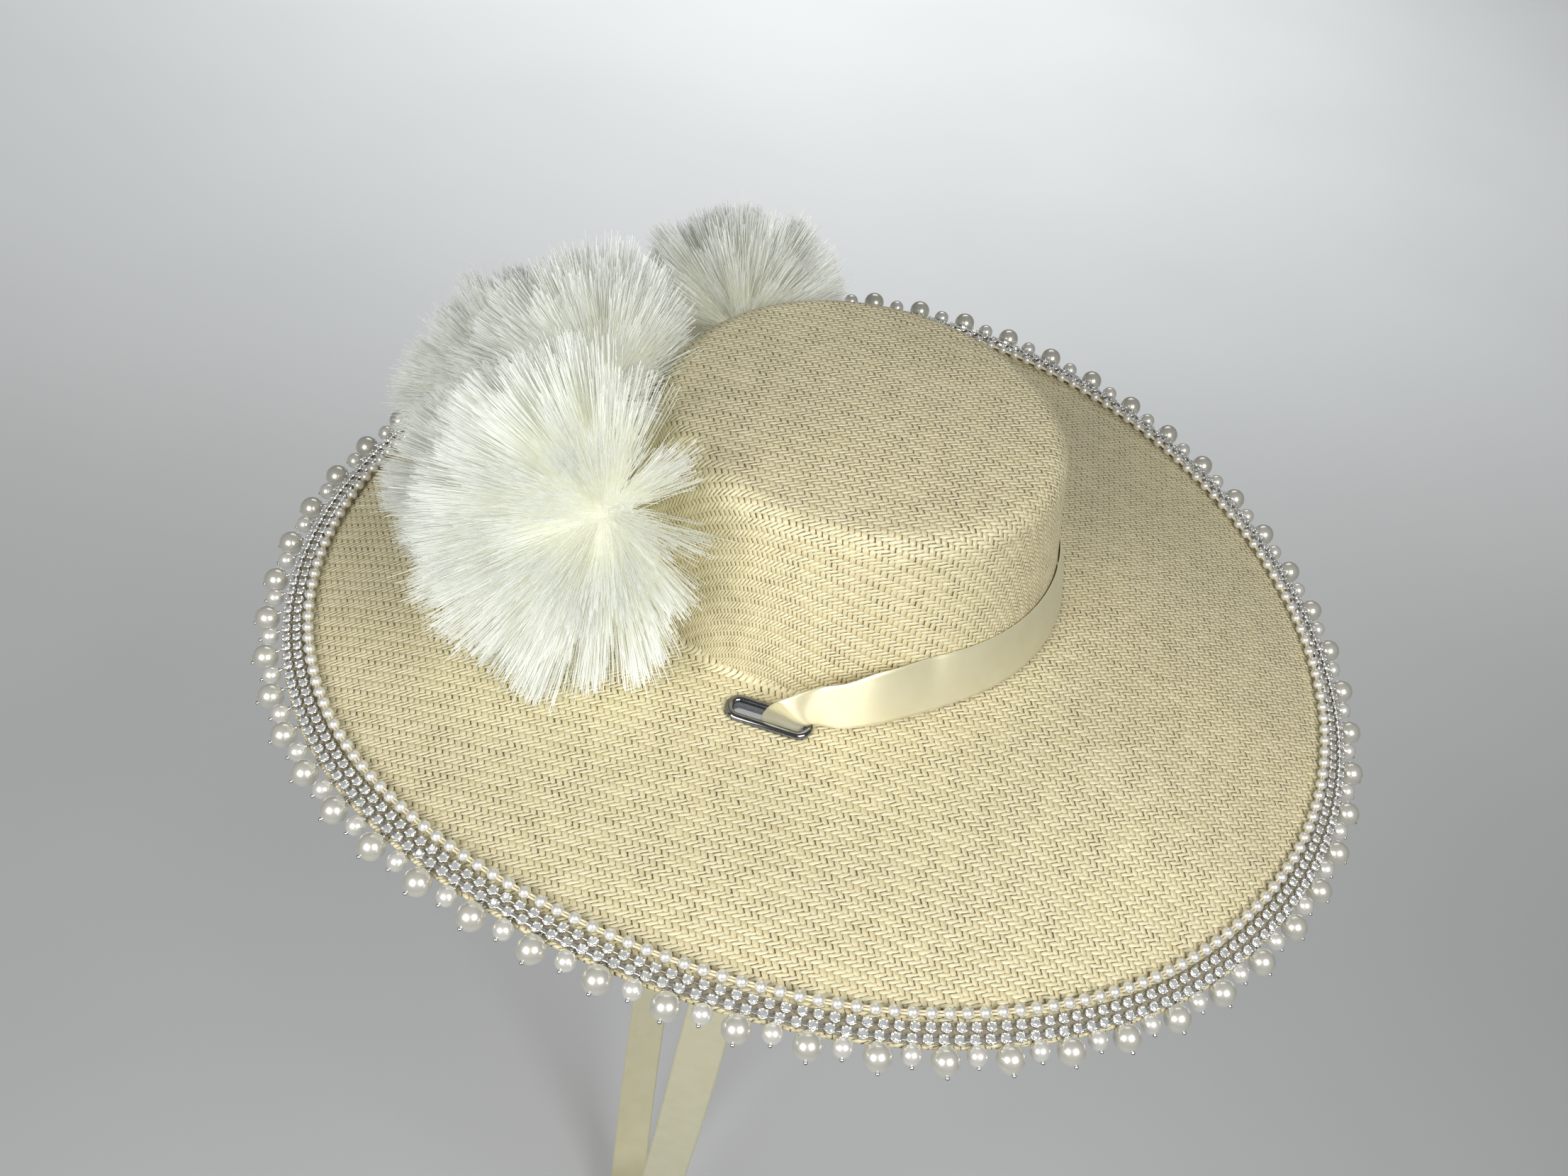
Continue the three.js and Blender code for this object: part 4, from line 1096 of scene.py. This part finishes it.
def rhinestone(name, radius, material):
    """A round stone with an octagonal table, two rings of crown facets and a shallow back."""
    rings = (
        {"radius": 0.56, "height": 0.46, "turn": 0.0},
        {"radius": 0.82, "height": 0.33, "turn": 0.5},
        {"radius": 1.0, "height": 0.08, "turn": 0.0},
    )
    sides = 8
    shape = bmesh.new()
    circles = []
    for ring in rings:
        turns = [2 * math.pi * (side + ring["turn"]) / sides for side in range(sides)]
        reach = radius * ring["radius"]
        lift = radius * ring["height"]
        circles.append([shape.verts.new((reach * math.cos(t), reach * math.sin(t), lift)) for t in turns])
    table, middle, girdle = circles
    back = shape.verts.new((0, 0, -radius * 0.25))
    shape.faces.new(table)
    for side in range(sides):
        following = (side + 1) % sides
        shape.faces.new((table[side], middle[side], table[following]))
        shape.faces.new((middle[side], middle[following], table[following]))
        shape.faces.new((middle[side], girdle[side], girdle[following]))
        shape.faces.new((middle[side], girdle[following], middle[following]))
        shape.faces.new((girdle[side], back, girdle[following]))
    bmesh.ops.recalc_face_normals(shape, faces=shape.faces)
    return from_bmesh(name, shape, material)


def stone_cup(name, radius, height, material):
    """A round metal cup with four claws that lean over the stone."""
    sides = 10
    wall = 0.0003
    profile = (
        (radius - wall, 0.0), (radius - wall, height), (radius, height), (radius, 0.0),
    )
    shape = bmesh.new()
    rings = []
    for reach, lift in profile:
        turns = [2 * math.pi * side / sides for side in range(sides)]
        rings.append([shape.verts.new((reach * math.cos(t), reach * math.sin(t), lift)) for t in turns])
    for first, second in zip(rings, rings[1:] + rings[:1]):
        for side in range(sides):
            following = (side + 1) % sides
            shape.faces.new((first[side], first[following], second[following], second[side]))
    claw_radius = 0.00062
    claw_lift = height + 0.0002
    for claw in range(4):
        turn = Matrix.Rotation(math.pi / 2 * (claw + 0.5), 4, "Z")
        spot = turn @ Matrix.Translation((radius * 0.84, 0.0, claw_lift))
        bmesh.ops.create_icosphere(shape, subdivisions=1, radius=claw_radius, matrix=spot)
    bmesh.ops.recalc_face_normals(shape, faces=shape.faces)
    return from_bmesh(name, shape, material)


def link_plate(name, size, material):
    """A small plate with bevelled edges that joins two cups, its length along +Y."""
    shape = bmesh.new()
    bmesh.ops.create_cube(shape, size=1.0, matrix=Matrix.Diagonal((*size, 1.0)))
    bmesh.ops.bevel(shape, geom=shape.edges[:], offset=min(size) * 0.25, segments=1, affect="EDGES")
    return from_bmesh(name, shape, material)


def edge_tape(material):
    """The tape that carries the stones, as a flat band along the brim's edge."""
    steps = 480
    theta = seam_angles(TAPE_INSETS[0], steps)
    corners = []
    for inset, lift in (
            (TAPE_INSETS[0], GAP), (TAPE_INSETS[0], GAP + TAPE_THICKNESS),
            (TAPE_INSETS[1], GAP + TAPE_THICKNESS), (TAPE_INSETS[1], GAP)):
        corners.append(place(trim_frame(theta, inset), lift=lift))
    sections = np.stack(corners, axis=1)
    piece = make_object("edge_tape", sections, grid_faces(steps, 4, close_rows=True), material, smooth=False)
    turn_faces_out(piece)
    return piece


def pearl_places(count, outset, offset):
    """Centres of the hanging pearls, and the line of each pin through its pearl."""
    start = 2 * math.pi * PEARL_PHASE / count
    theta = even_angles(lambda t: pearl_centre(t, PEARL_OUTSET), count, start, offset)
    centre = pearl_centre(theta, outset)
    root = place(trim_frame(theta, PIN_ROOT_INSET), lift=PIN_ROOT_LIFT)
    return theta, centre, unit(centre - root), float(np.linalg.norm(centre - root, axis=-1).mean())


# Brush flowers


def straw_clearance(points, gap):
    """Moves points that would lie in the crown or the brim to just outside the straw."""
    points = points.copy()
    x, y, z = points[:, 0], points[:, 1], points[:, 2]
    scale = crown_scale(np.clip(z, 0.0, CROWN_HEIGHT))
    oval = np.hypot(x / (CROWN_HALF_WIDTH * scale), y / (CROWN_HALF_LENGTH * scale))
    least = 1 + gap / CROWN_SIZE
    inside = (oval < least) & (z < CROWN_HEIGHT + gap)
    push = np.where(inside, least / np.maximum(oval, 0.2), 1.0)
    points[:, 0] *= push
    points[:, 1] *= push
    x, y = points[:, 0], points[:, 1]
    # The share of the way over the brim is found by halving, out to well past its edge
    low, high = np.zeros(len(points)), np.full(len(points), 1.6)
    for _ in range(18):
        share = (low + high) / 2
        wide = mix(CROWN_HALF_WIDTH, EDGE_HALF_WIDTH, share)
        long = mix(CROWN_HALF_LENGTH, EDGE_HALF_LENGTH, share)
        beyond = np.hypot((x - EDGE_CENTRE_X * share) / wide, (y - EDGE_CENTRE_Y * share) / long) > 1
        low = np.where(beyond, share, low)
        high = np.where(beyond, high, share)
    theta = np.arctan2((y - EDGE_CENTRE_Y * share) / long, (x - EDGE_CENTRE_X * share) / wide)
    floor = brim_height(theta, share) + gap
    past_edge = 1.04
    points[:, 2] = np.where(share < past_edge, np.maximum(points[:, 2], floor), points[:, 2])
    return points


def fan_ways(towards, tilts, turns):
    """Directions that lean from the flower's aim by a tilt, each turned about it."""
    aim = unit(np.array(towards))
    side = unit(np.cross(aim, [0.0, 0.0, 1.0]))
    rise = np.cross(side, aim)
    across = side * np.cos(turns)[:, None] + rise * np.sin(turns)[:, None]
    return aim * np.cos(tilts)[:, None] + across * np.sin(tilts)[:, None]


def fibre_lines(name, points, shares, shade, radius):
    """Separate lines, with the fibre's thickness, share of its length and shade at each point."""
    count, stations = points.shape[:2]
    starts = np.arange(count)[:, None] * stations + np.arange(stations - 1)[None, :]
    edges = np.stack([starts.ravel(), starts.ravel() + 1], axis=-1)
    mesh = bpy.data.meshes.new(name)
    mesh.from_pydata(points.reshape(-1, 3).tolist(), edges.tolist(), [])
    attributes = (
        ("thickness", np.tile(radius * mix(1.0, 0.7, np.array(shares)), count)),
        ("along", np.tile(shares, count)),
        ("shade", np.repeat(shade, stations)),
    )
    for attribute, values in attributes:
        layer = mesh.attributes.new(attribute, "FLOAT", "POINT")
        layer.data.foreach_set("value", values.astype(np.float32))
    return mesh


def brush_flower(name, flower, settings, material, seed):
    """A brush flower: clumps of fibres that spread from one binding and bend a little on their way."""
    rng = np.random.default_rng(seed)
    count = int(settings.fibres * flower["share"])
    clumps = FIBRE_CLUMPS
    golden = math.pi * (3 - math.sqrt(5))
    order = (np.arange(clumps) + 0.5) / clumps
    even_tilt = np.arccos(1 - order * (1 - math.cos(WIDEST_TILT)))
    tilt = even_tilt + rng.normal(0, CLUMP_SPREAD["tilt"], clumps)
    turn = golden * np.arange(clumps) + rng.normal(0, CLUMP_SPREAD["turn"], clumps)
    clump_reach = rng.normal(1.0, CLUMP_SPREAD["reach"], clumps)
    # Painted light and shade: each clump gets a light level at random within the flower's range, so some
    # clumps are lighter and some darker
    clump_painted_light = rng.uniform(*flower["painted_light_range"], clumps)
    # The brush is full round its aim and thins out sideways
    weight = mix(1.0, 0.4, smoothstep(tilt, math.radians(50), WIDEST_TILT))
    # Few fibres point at the crown
    outwards = unit(np.array([flower["at"][0], flower["at"][1], 0.03]))
    clump_ways = fan_ways(flower["towards"], tilt, turn)
    weight *= mix(0.3, 1.0, smoothstep(clump_ways @ outwards, -0.5, 0.15))
    chosen = rng.choice(clumps, count, p=weight / weight.sum())
    fibre_tilt = tilt[chosen] + rng.normal(0, FIBRE_SPREAD["tilt"], count)
    aside = rng.normal(0, FIBRE_SPREAD["turn"], count)
    fibre_turn = turn[chosen] + aside / np.maximum(np.sin(tilt[chosen]), 0.2)
    bend = rng.normal(0, FIBRE_SPREAD["bend"], (2, count))
    first = fan_ways(flower["towards"], fibre_tilt + bend[0], fibre_turn + bend[1])
    last = fan_ways(flower["towards"], fibre_tilt, fibre_turn)
    reach = flower["length"] * clump_reach[chosen]
    reach = reach * rng.normal(FIBRE_MEAN_REACH, FIBRE_SPREAD["reach"], count)
    strays = rng.random(count) < STRAYS["share"]
    reach = np.where(strays, reach * rng.uniform(STRAYS["shortest"], STRAYS["longest"], count), reach)
    # Those that point at the crown are cut shorter
    reach *= 0.8 + 0.2 * smoothstep(last @ outwards, -0.5, 0.5)
    root = np.array(flower["at"]) + rng.normal(0, FIBRE_SPREAD["root"], (count, 3)) + last * FIBRE_ROOT_LIFT
    points = []
    shares = (0.0, 0.5, 1.0)
    for share in shares:
        way = first * (1 - share) + last * share
        point = root + way * (reach * share)[:, None]
        point[:, 2] -= FIBRE_DROOP * share ** 2
        points.append(straw_clearance(point, FIBRE_CLEARANCE))
    shade = np.clip(clump_painted_light[chosen] + rng.normal(0, FIBRE_SPREAD["shade"], count), 0, 1)
    mesh = fibre_lines(name, np.stack(points, axis=1), shares, shade, settings.fibre_width / 2)
    piece = bpy.data.objects.new(name, mesh)
    bpy.context.scene.collection.objects.link(piece)
    tree = bpy.data.node_groups.get("Fibres along lines") or fibre_tree()
    run_tree(piece, tree, {"Sides": 3, "Finish": material})
    piece.data.polygons.foreach_set("use_smooth", [True] * len(piece.data.polygons))
    return piece


def satin_strip(material):
    """The satin strip along the crown's foot, gathered in small waves."""
    steps, columns = 140, 8
    theta = np.radians(np.linspace(STRIP["from"], STRIP["to"], steps))
    shares = np.linspace(0.0, 1.0, columns + 1)
    height = mix(STRIP["bottom"], STRIP["top"], shares)
    rng = np.random.default_rng(5)
    phase = np.cumsum(rng.uniform(0.35, 0.75, steps))
    wave = 0.0004 * np.sin(phase)[:, None] * np.sin(math.pi * shares)[None, :]
    fronts, backs = [], []
    for column, lift in enumerate(height):
        wall = crown_point(theta, crown_scale(lift), lift)
        out = unit(wall * np.array([1.0, 1.0, 0.0]))
        middle = STRIP["gap"] + STRIP["thickness"] / 2 + wave[:, column:column + 1]
        fronts.append(wall + out * (middle + 0.0003))
        backs.append(wall + out * (middle - 0.0003))
    loop = np.stack(fronts + backs[::-1], axis=1)
    count = 2 * (columns + 1)
    faces = grid_faces(steps, count)
    across = (STRIP["top"] - STRIP["bottom"]) * np.concatenate([shares, shares[::-1]])
    length = CROWN_SIZE * np.abs(theta - theta[0])
    uvs = []
    for row in range(steps - 1):
        for column in range(count):
            following = (column + 1) % count
            uvs += [
                (across[column], length[row]), (across[column], length[row + 1]),
                (across[following], length[row + 1]), (across[following], length[row]),
            ]
    for row, order in ((0, range(count)), (steps - 1, range(count - 1, -1, -1))):
        faces.append(tuple(row * count + column for column in order))
        uvs += [(across[column], length[row]) for column in order]
    piece = make_object("satin_flower_strip", loop, faces, material, uvs)
    turn_faces_out(piece)
    return piece, float(length[-1])


# Sizes and colours that a user would change


class StrawSettings(bpy.types.PropertyGroup):
    """Sizes of the straw cloth."""

    warp_pitch: bpy.props.FloatProperty(
        name="Warp pitch", description="Spacing of the warp threads", default=0.00225, unit="LENGTH")
    weft_pitch: bpy.props.FloatProperty(
        name="Weft pitch", description="Spacing of the weft threads", default=0.00148, unit="LENGTH")


class TrimSettings(bpy.types.PropertyGroup):
    """Sizes and counts of the pearls and stones on the edge."""

    pearl_pairs: bpy.props.IntProperty(
        name="Pearl pairs", default=59,
        description="Large pearls round the edge, with a small one after each")
    large_pearl: bpy.props.FloatProperty(
        name="Large pearl", description="Diameter of a large pearl", default=0.010, unit="LENGTH")
    small_pearl: bpy.props.FloatProperty(
        name="Small pearl", description="Diameter of a small pearl", default=0.0072, unit="LENGTH")
    string_pearl: bpy.props.FloatProperty(
        name="String pearl", default=0.0045, unit="LENGTH",
        description="Diameter of a pearl on the inner string")
    string_pearls: bpy.props.IntProperty(
        name="String pearls", description="Pearls on the inner string", default=200)
    stone: bpy.props.FloatProperty(
        name="Stone", description="Diameter of a rhinestone", default=0.0034, unit="LENGTH")
    stones: bpy.props.IntProperty(
        name="Stones", description="Rhinestones in each of the two rows", default=240)
    thread: bpy.props.FloatProperty(
        name="Thread", description="Diameter of the string's two threads", default=0.0009, unit="LENGTH")


class RibbonSettings(bpy.types.PropertyGroup):
    """Sizes of the satin ribbon."""

    thickness: bpy.props.FloatProperty(
        name="Thickness", description="Thickness of the ribbon", default=0.0005, unit="LENGTH")


class FlowerSettings(bpy.types.PropertyGroup):
    """Fibres of the brush flowers."""

    fibres: bpy.props.IntProperty(
        name="Fibres", description="Fibres of a flower of average size", default=7600)
    fibre_width: bpy.props.FloatProperty(
        name="Fibre width", description="Width of a fibre at its root", default=0.00033, unit="LENGTH")
    seed: bpy.props.IntProperty(
        name="Seed", description="Start of the random numbers", default=11)
    tip_colour: bpy.props.FloatVectorProperty(
        name="Tip colour", description="Colour of the fibres' tips", default=srgb("#fcfffa")[:3],
        subtype="COLOR")


class StageSettings(bpy.types.PropertyGroup):
    """Floor and lamps."""

    # The near floor colour is the floor darkened with painted shade by the hat
    floor_near_painted_shade: bpy.props.FloatVectorProperty(
        name="Near floor", description="Colour of the floor under the hat", default=srgb("#cdcfd0")[:3],
        subtype="COLOR")
    floor_far: bpy.props.FloatVectorProperty(
        name="Far floor", description="Colour of the floor away from the hat", default=srgb("#f3f7f8")[:3],
        subtype="COLOR")
    lamp_power: bpy.props.FloatProperty(
        name="Lamp power", description="Power of each softbox", default=5.0, unit="POWER")
    backdrop_power: bpy.props.FloatProperty(
        name="Backdrop power", description="Power of the lamp over the far floor", default=22.0, unit="POWER")


# Operators


class HAT_OT_straw(bpy.types.Operator):
    """Weave the crown and brim"""

    bl_idname = "hat.straw"
    bl_label = "Straw Cloth"

    def execute(self, context):
        piece = straw_cloth(paper_straw(context.scene.hat_straw))
        finish_piece(piece, "straw", "straw_body")
        return {"FINISHED"}


class HAT_OT_eyelets(bpy.types.Operator):
    """Line the two slots with metal eyelets"""

    bl_idname = "hat.eyelets"
    bl_label = "Eyelets"

    def execute(self, context):
        metal = polished_metal("polished nickel plate", "#a2a4a8", "#74767a", 0.07)
        for node, azimuth in zip(("eyelet_left", "eyelet_right"), EYELET_AZIMUTHS):
            finish_piece(eyelet(node + "_rim", azimuth, metal), "eyelet_metal", node)
        return {"FINISHED"}


class HAT_OT_ribbon(bpy.types.Operator):
    """Lay the ribbon round the crown, through the eyelets and under the chin"""

    bl_idname = "hat.ribbon"
    bl_label = "Satin Ribbon"

    def execute(self, context):
        satin = satin_weave("polyester satin ribbon", "#fffadc", "#f4edc6")
        piece, length = satin_ribbon(satin, context.scene.hat_ribbon.thickness)
        finish_piece(piece, "satin", "satin_ribbon")
        return {"FINISHED"}


class HAT_OT_pearls(bpy.types.Operator):
    """Hang the large and small pearls on their pins, and lay the inner string"""

    bl_idname = "hat.pearls"
    bl_label = "Pearls"

    def execute(self, context):
        sizes = context.scene.hat_trim
        large = pearl_coat("grey pearl coat", "#dad8cd", "#c6c4b9", "#f4f0d4")
        small = pearl_coat("white pearl coat", "#eae8e0", "#d8d6ce", "#f6f4ea")
        silver = polished_metal("silver plate", "#f2f2f0", "#c9c9c6", 0.09)
        kinds = (
            {"name": "large_pearls", "size": sizes.large_pearl, "outset": PEARL_OUTSET,
             "offset": 0.0, "coat": large},
            {"name": "small_pearls", "size": sizes.small_pearl, "outset": SMALL_PEARL_OUTSET,
             "offset": 0.5, "coat": small},
        )
        for kind in kinds:
            theta, centre, line, pin_length = pearl_places(sizes.pearl_pairs, kind["outset"], kind["offset"])
            normal = trim_frame(theta, 0.0)["normal"]
            bead = ball("bead", kind["size"] / 2, kind["coat"])
            pearls = repeat_piece(kind["name"], centre, line, normal, bead, kind["coat"])
            pin = pin_piece("pin", pin_length, kind["size"] / 2, silver)
            pins = repeat_piece(kind["name"] + "_pins", centre, line, normal, pin, silver)
            finish_piece(pearls, "pearl", "pearl_fringe")
            finish_piece(pins, "eyelet_metal")
            remove_object(bead)
            remove_object(pin)
        self.lay_string(sizes, small)
        return {"FINISHED"}

    def lay_string(self, sizes, coat):
        """The inner string: small pearls on two cream threads."""
        lift = GAP + sizes.string_pearl / 2
        spot = trim_frame(seam_angles(STRING_INSET, sizes.string_pearls, lift), STRING_INSET)
        places = place(spot, lift=lift)
        bead = ball("bead", sizes.string_pearl / 2, coat, 16, 10)
        pearls = repeat_piece("string_pearls", places, spot["normal"], spot["out"], bead, coat)
        finish_piece(pearls, "pearl", "pearl_string")
        remove_object(bead)
        thread = spun_thread("twisted cream thread", "#f3ead0", "#c9b98c")
        spot = trim_frame(seam_angles(STRING_INSET, 3 * sizes.string_pearls, lift), STRING_INSET)
        for name, side in (("outer", 0.6), ("inner", -0.6)):
            centre = place(spot, out=side * sizes.thread, lift=lift)
            tube = tube_loop(
                "string_thread_" + name, centre, spot["out"], spot["normal"], sizes.thread / 2, 6, thread)
            finish_piece(tube, "satin")


class HAT_OT_crystals(bpy.types.Operator):
    """Set two rows of rhinestones on the edge tape"""

    bl_idname = "hat.crystals"
    bl_label = "Crystals"

    def execute(self, context):
        sizes = context.scene.hat_trim
        glass = foiled_crystal()
        silver = polished_metal("silver claw metal", "#f8f8f6", "#d8d6d0", 0.22)
        champagne = polished_metal("champagne link metal", "#e0d6bc", "#b5a98c", 0.25)
        # The tape's grey-brown is its own colour darkened with painted shade, for the shade in the gaps
        # between the stone cups
        tape = edge_tape(spun_thread("woven edge tape", "#a59d88", "#6f6856"))
        finish_piece(tape, "satin", "pearl_fringe")
        seat = GAP + TAPE_THICKNESS
        cup_height = 0.0011
        stone = rhinestone("stone", sizes.stone / 2, glass)
        cup = stone_cup("cup", sizes.stone / 2 + 0.00025, cup_height, silver)
        rows = (
            {"name": "outer_row", "inset": STONE_ROWS[0], "metal": silver,
             "plate": (0.0014, 0.0025, 0.0007), "shift": 0.0},
            {"name": "inner_row", "inset": STONE_ROWS[1], "metal": champagne,
             "plate": (0.0009, 0.0024, 0.0005), "shift": 0.3},
        )
        kinds = (("stones", 0.0, seat + 0.0008), ("cups", 0.0, seat), ("links", 0.5, seat + 0.0007))
        stone_tilt = 0.09
        for row in rows:
            for kind, offset, lift in kinds:
                theta = seam_angles(row["inset"], sizes.stones, offset=offset + row["shift"])
                spot = trim_frame(theta, row["inset"])
                places = place(spot, lift=lift)
                normal, out = spot["normal"], spot["out"]
                name = row["name"] + "_" + kind
                if kind == "stones":
                    rng = np.random.default_rng(len(name))
                    tilted = unit(normal + rng.normal(0, stone_tilt, places.shape))
                    piece = repeat_piece(name, places, tilted, out, stone, glass, smooth=False)
                    finish_piece(piece, "pearl")
                elif kind == "cups":
                    piece = repeat_piece(name, places, normal, out, cup, silver)
                    finish_piece(piece, "eyelet_metal")
                else:
                    plate = link_plate("plate", row["plate"], row["metal"])
                    piece = repeat_piece(name, places, normal, out, plate, row["metal"], smooth=False)
                    finish_piece(piece, "eyelet_metal")
                    remove_object(plate)
        remove_object(stone)
        remove_object(cup)
        return {"FINISHED"}


class HAT_OT_flowers(bpy.types.Operator):
    """Bind the brush flowers and the satin strip that carries them"""

    bl_idname = "hat.flowers"
    bl_label = "Brush Flowers"

    def execute(self, context):
        settings = context.scene.hat_flowers
        fibre = brush_fibre(settings)
        for number, flower in enumerate(FLOWERS, start=1):
            piece = brush_flower(f"brush_flower_{number}", flower, settings, fibre, settings.seed + number)
            finish_piece(piece, "flower_fibre", f"flower_{number}")
        bindings = np.array([flower["at"] for flower in FLOWERS])
        aims = unit(np.array([flower["towards"] for flower in FLOWERS]))
        thread = spun_thread("cream binding thread", "#f6f0d8", "#dcd2ac")
        knot = ball("knot", 0.0042, thread, 16, 10)
        knots = repeat_piece("flower_knots", bindings, aims, np.roll(aims, 1, axis=1), knot, thread)
        finish_piece(knots, "flower_fibre")
        remove_object(knot)
        satin = satin_weave("polyester satin strip", "#e6dca9", "#d2c68f")
        strip, length = satin_strip(satin)
        finish_piece(strip, "satin", "flower_strip")
        return {"FINISHED"}


class HAT_OT_stage(bpy.types.Operator):
    """Set the floor, the lamps and the camera"""

    bl_idname = "hat.stage"
    bl_label = "Stage"

    def execute(self, context):
        settings = context.scene.hat_stage
        floor_height = cad_box[0][2] - FLOOR_DROP
        corners = [
            (x * FLOOR_HALF, y * FLOOR_HALF, floor_height) for x, y in ((-1, -1), (1, -1), (1, 1), (-1, 1))
        ]
        make_object("floor", corners, [(0, 1, 2, 3)], studio_floor(settings), smooth=False)
        self.place_camera(context)
        right, up, forward = np.array(CAMERA_RIGHT), np.array(CAMERA_UP), np.array(CAMERA_FORWARD)
        lamps = []
        for name, side in (("softbox_left", -1), ("softbox_right", 1)):
            stand = CAMERA_PLACE + side * SOFTBOX["aside"] * right
            lamps.append({
                "name": name, "at": stand - SOFTBOX["below"] * up - SOFTBOX["behind"] * forward,
                "towards": np.zeros(3), "size": SOFTBOX["size"], "power": settings.lamp_power,
                "spread": math.pi,
            })
        lamps.append({
            "name": "backdrop_lamp", "at": np.array(BACKDROP_LAMP["at"]),
            "towards": np.array((*BACKDROP_LAMP["towards"], floor_height)), "size": BACKDROP_LAMP["size"],
            "power": settings.backdrop_power, "spread": math.radians(BACKDROP_LAMP["spread"]),
        })
        for lamp in lamps:
            light = bpy.data.lights.new(lamp["name"], "AREA")
            light.shape = "SQUARE"
            light.size = lamp["size"]
            light.energy = lamp["power"]
            light.spread = lamp["spread"]
            holder = bpy.data.objects.new(lamp["name"], light)
            aim = Vector(lamp["towards"] - lamp["at"]).to_track_quat("-Z", "Y").to_matrix().to_4x4()
            holder.matrix_world = Matrix.Translation(lamp["at"]) @ aim
            context.scene.collection.objects.link(holder)
        world = bpy.data.worlds.new("studio air")
        world.use_nodes = True
        background = world.node_tree.nodes["Background"]
        background.inputs["Color"].default_value = srgb("#ecebe8")
        background.inputs["Strength"].default_value = 0.2
        context.scene.world = world
        context.scene.view_settings.view_transform = "Standard"
        return {"FINISHED"}

    def place_camera(self, context):
        """The camera stands where the photograph was taken from."""
        data = bpy.data.cameras.new("camera")
        data.lens = CAMERA_LENS_MM
        data.sensor_width = CAMERA_SENSOR_MM
        data.sensor_fit = "HORIZONTAL"
        data.clip_start = 0.01
        camera = bpy.data.objects.new("camera", data)
        backward = -Vector(CAMERA_FORWARD)
        turn = Matrix((CAMERA_RIGHT, CAMERA_UP, backward)).transposed().to_4x4()
        camera.matrix_world = Matrix.Translation(CAMERA_PLACE) @ turn
        context.scene.collection.objects.link(camera)
        context.scene.camera = camera


class HAT_PT_panel(bpy.types.Panel):
    """Lists the hat's pieces in the sidebar"""

    bl_label = "Straw Hat"
    bl_idname = "HAT_PT_panel"
    bl_space_type = "VIEW_3D"
    bl_region_type = "UI"
    bl_category = "Straw Hat"

    def draw(self, context):
        for operator in OPERATORS:
            self.layout.operator(operator.bl_idname)
        for name in SETTINGS:
            settings = getattr(context.scene, name)
            for prop in settings.bl_rna.properties:
                if prop.identifier not in ("rna_type", "name"):
                    self.layout.prop(settings, prop.identifier)


SETTINGS = {
    "hat_straw": StrawSettings,
    "hat_trim": TrimSettings,
    "hat_ribbon": RibbonSettings,
    "hat_flowers": FlowerSettings,
    "hat_stage": StageSettings,
}
OPERATORS = (
    HAT_OT_stage,
    HAT_OT_straw,
    HAT_OT_eyelets,
    HAT_OT_ribbon,
    HAT_OT_pearls,
    HAT_OT_crystals,
    HAT_OT_flowers,
)


def register():
    for name, group in SETTINGS.items():
        bpy.utils.register_class(group)
        setattr(bpy.types.Scene, name, bpy.props.PointerProperty(type=group))
    for operator in OPERATORS:
        bpy.utils.register_class(operator)
    bpy.utils.register_class(HAT_PT_panel)


def unregister():
    bpy.utils.unregister_class(HAT_PT_panel)
    for operator in reversed(OPERATORS):
        bpy.utils.unregister_class(operator)
    for name, group in SETTINGS.items():
        delattr(bpy.types.Scene, name)
        bpy.utils.unregister_class(group)


def main():
    register()
    bpy.ops.hat.stage()
    bpy.ops.hat.straw()
    bpy.ops.hat.eyelets()
    bpy.ops.hat.ribbon()
    bpy.ops.hat.pearls()
    bpy.ops.hat.crystals()
    bpy.ops.hat.flowers()


if __name__ == "__main__":
    main()
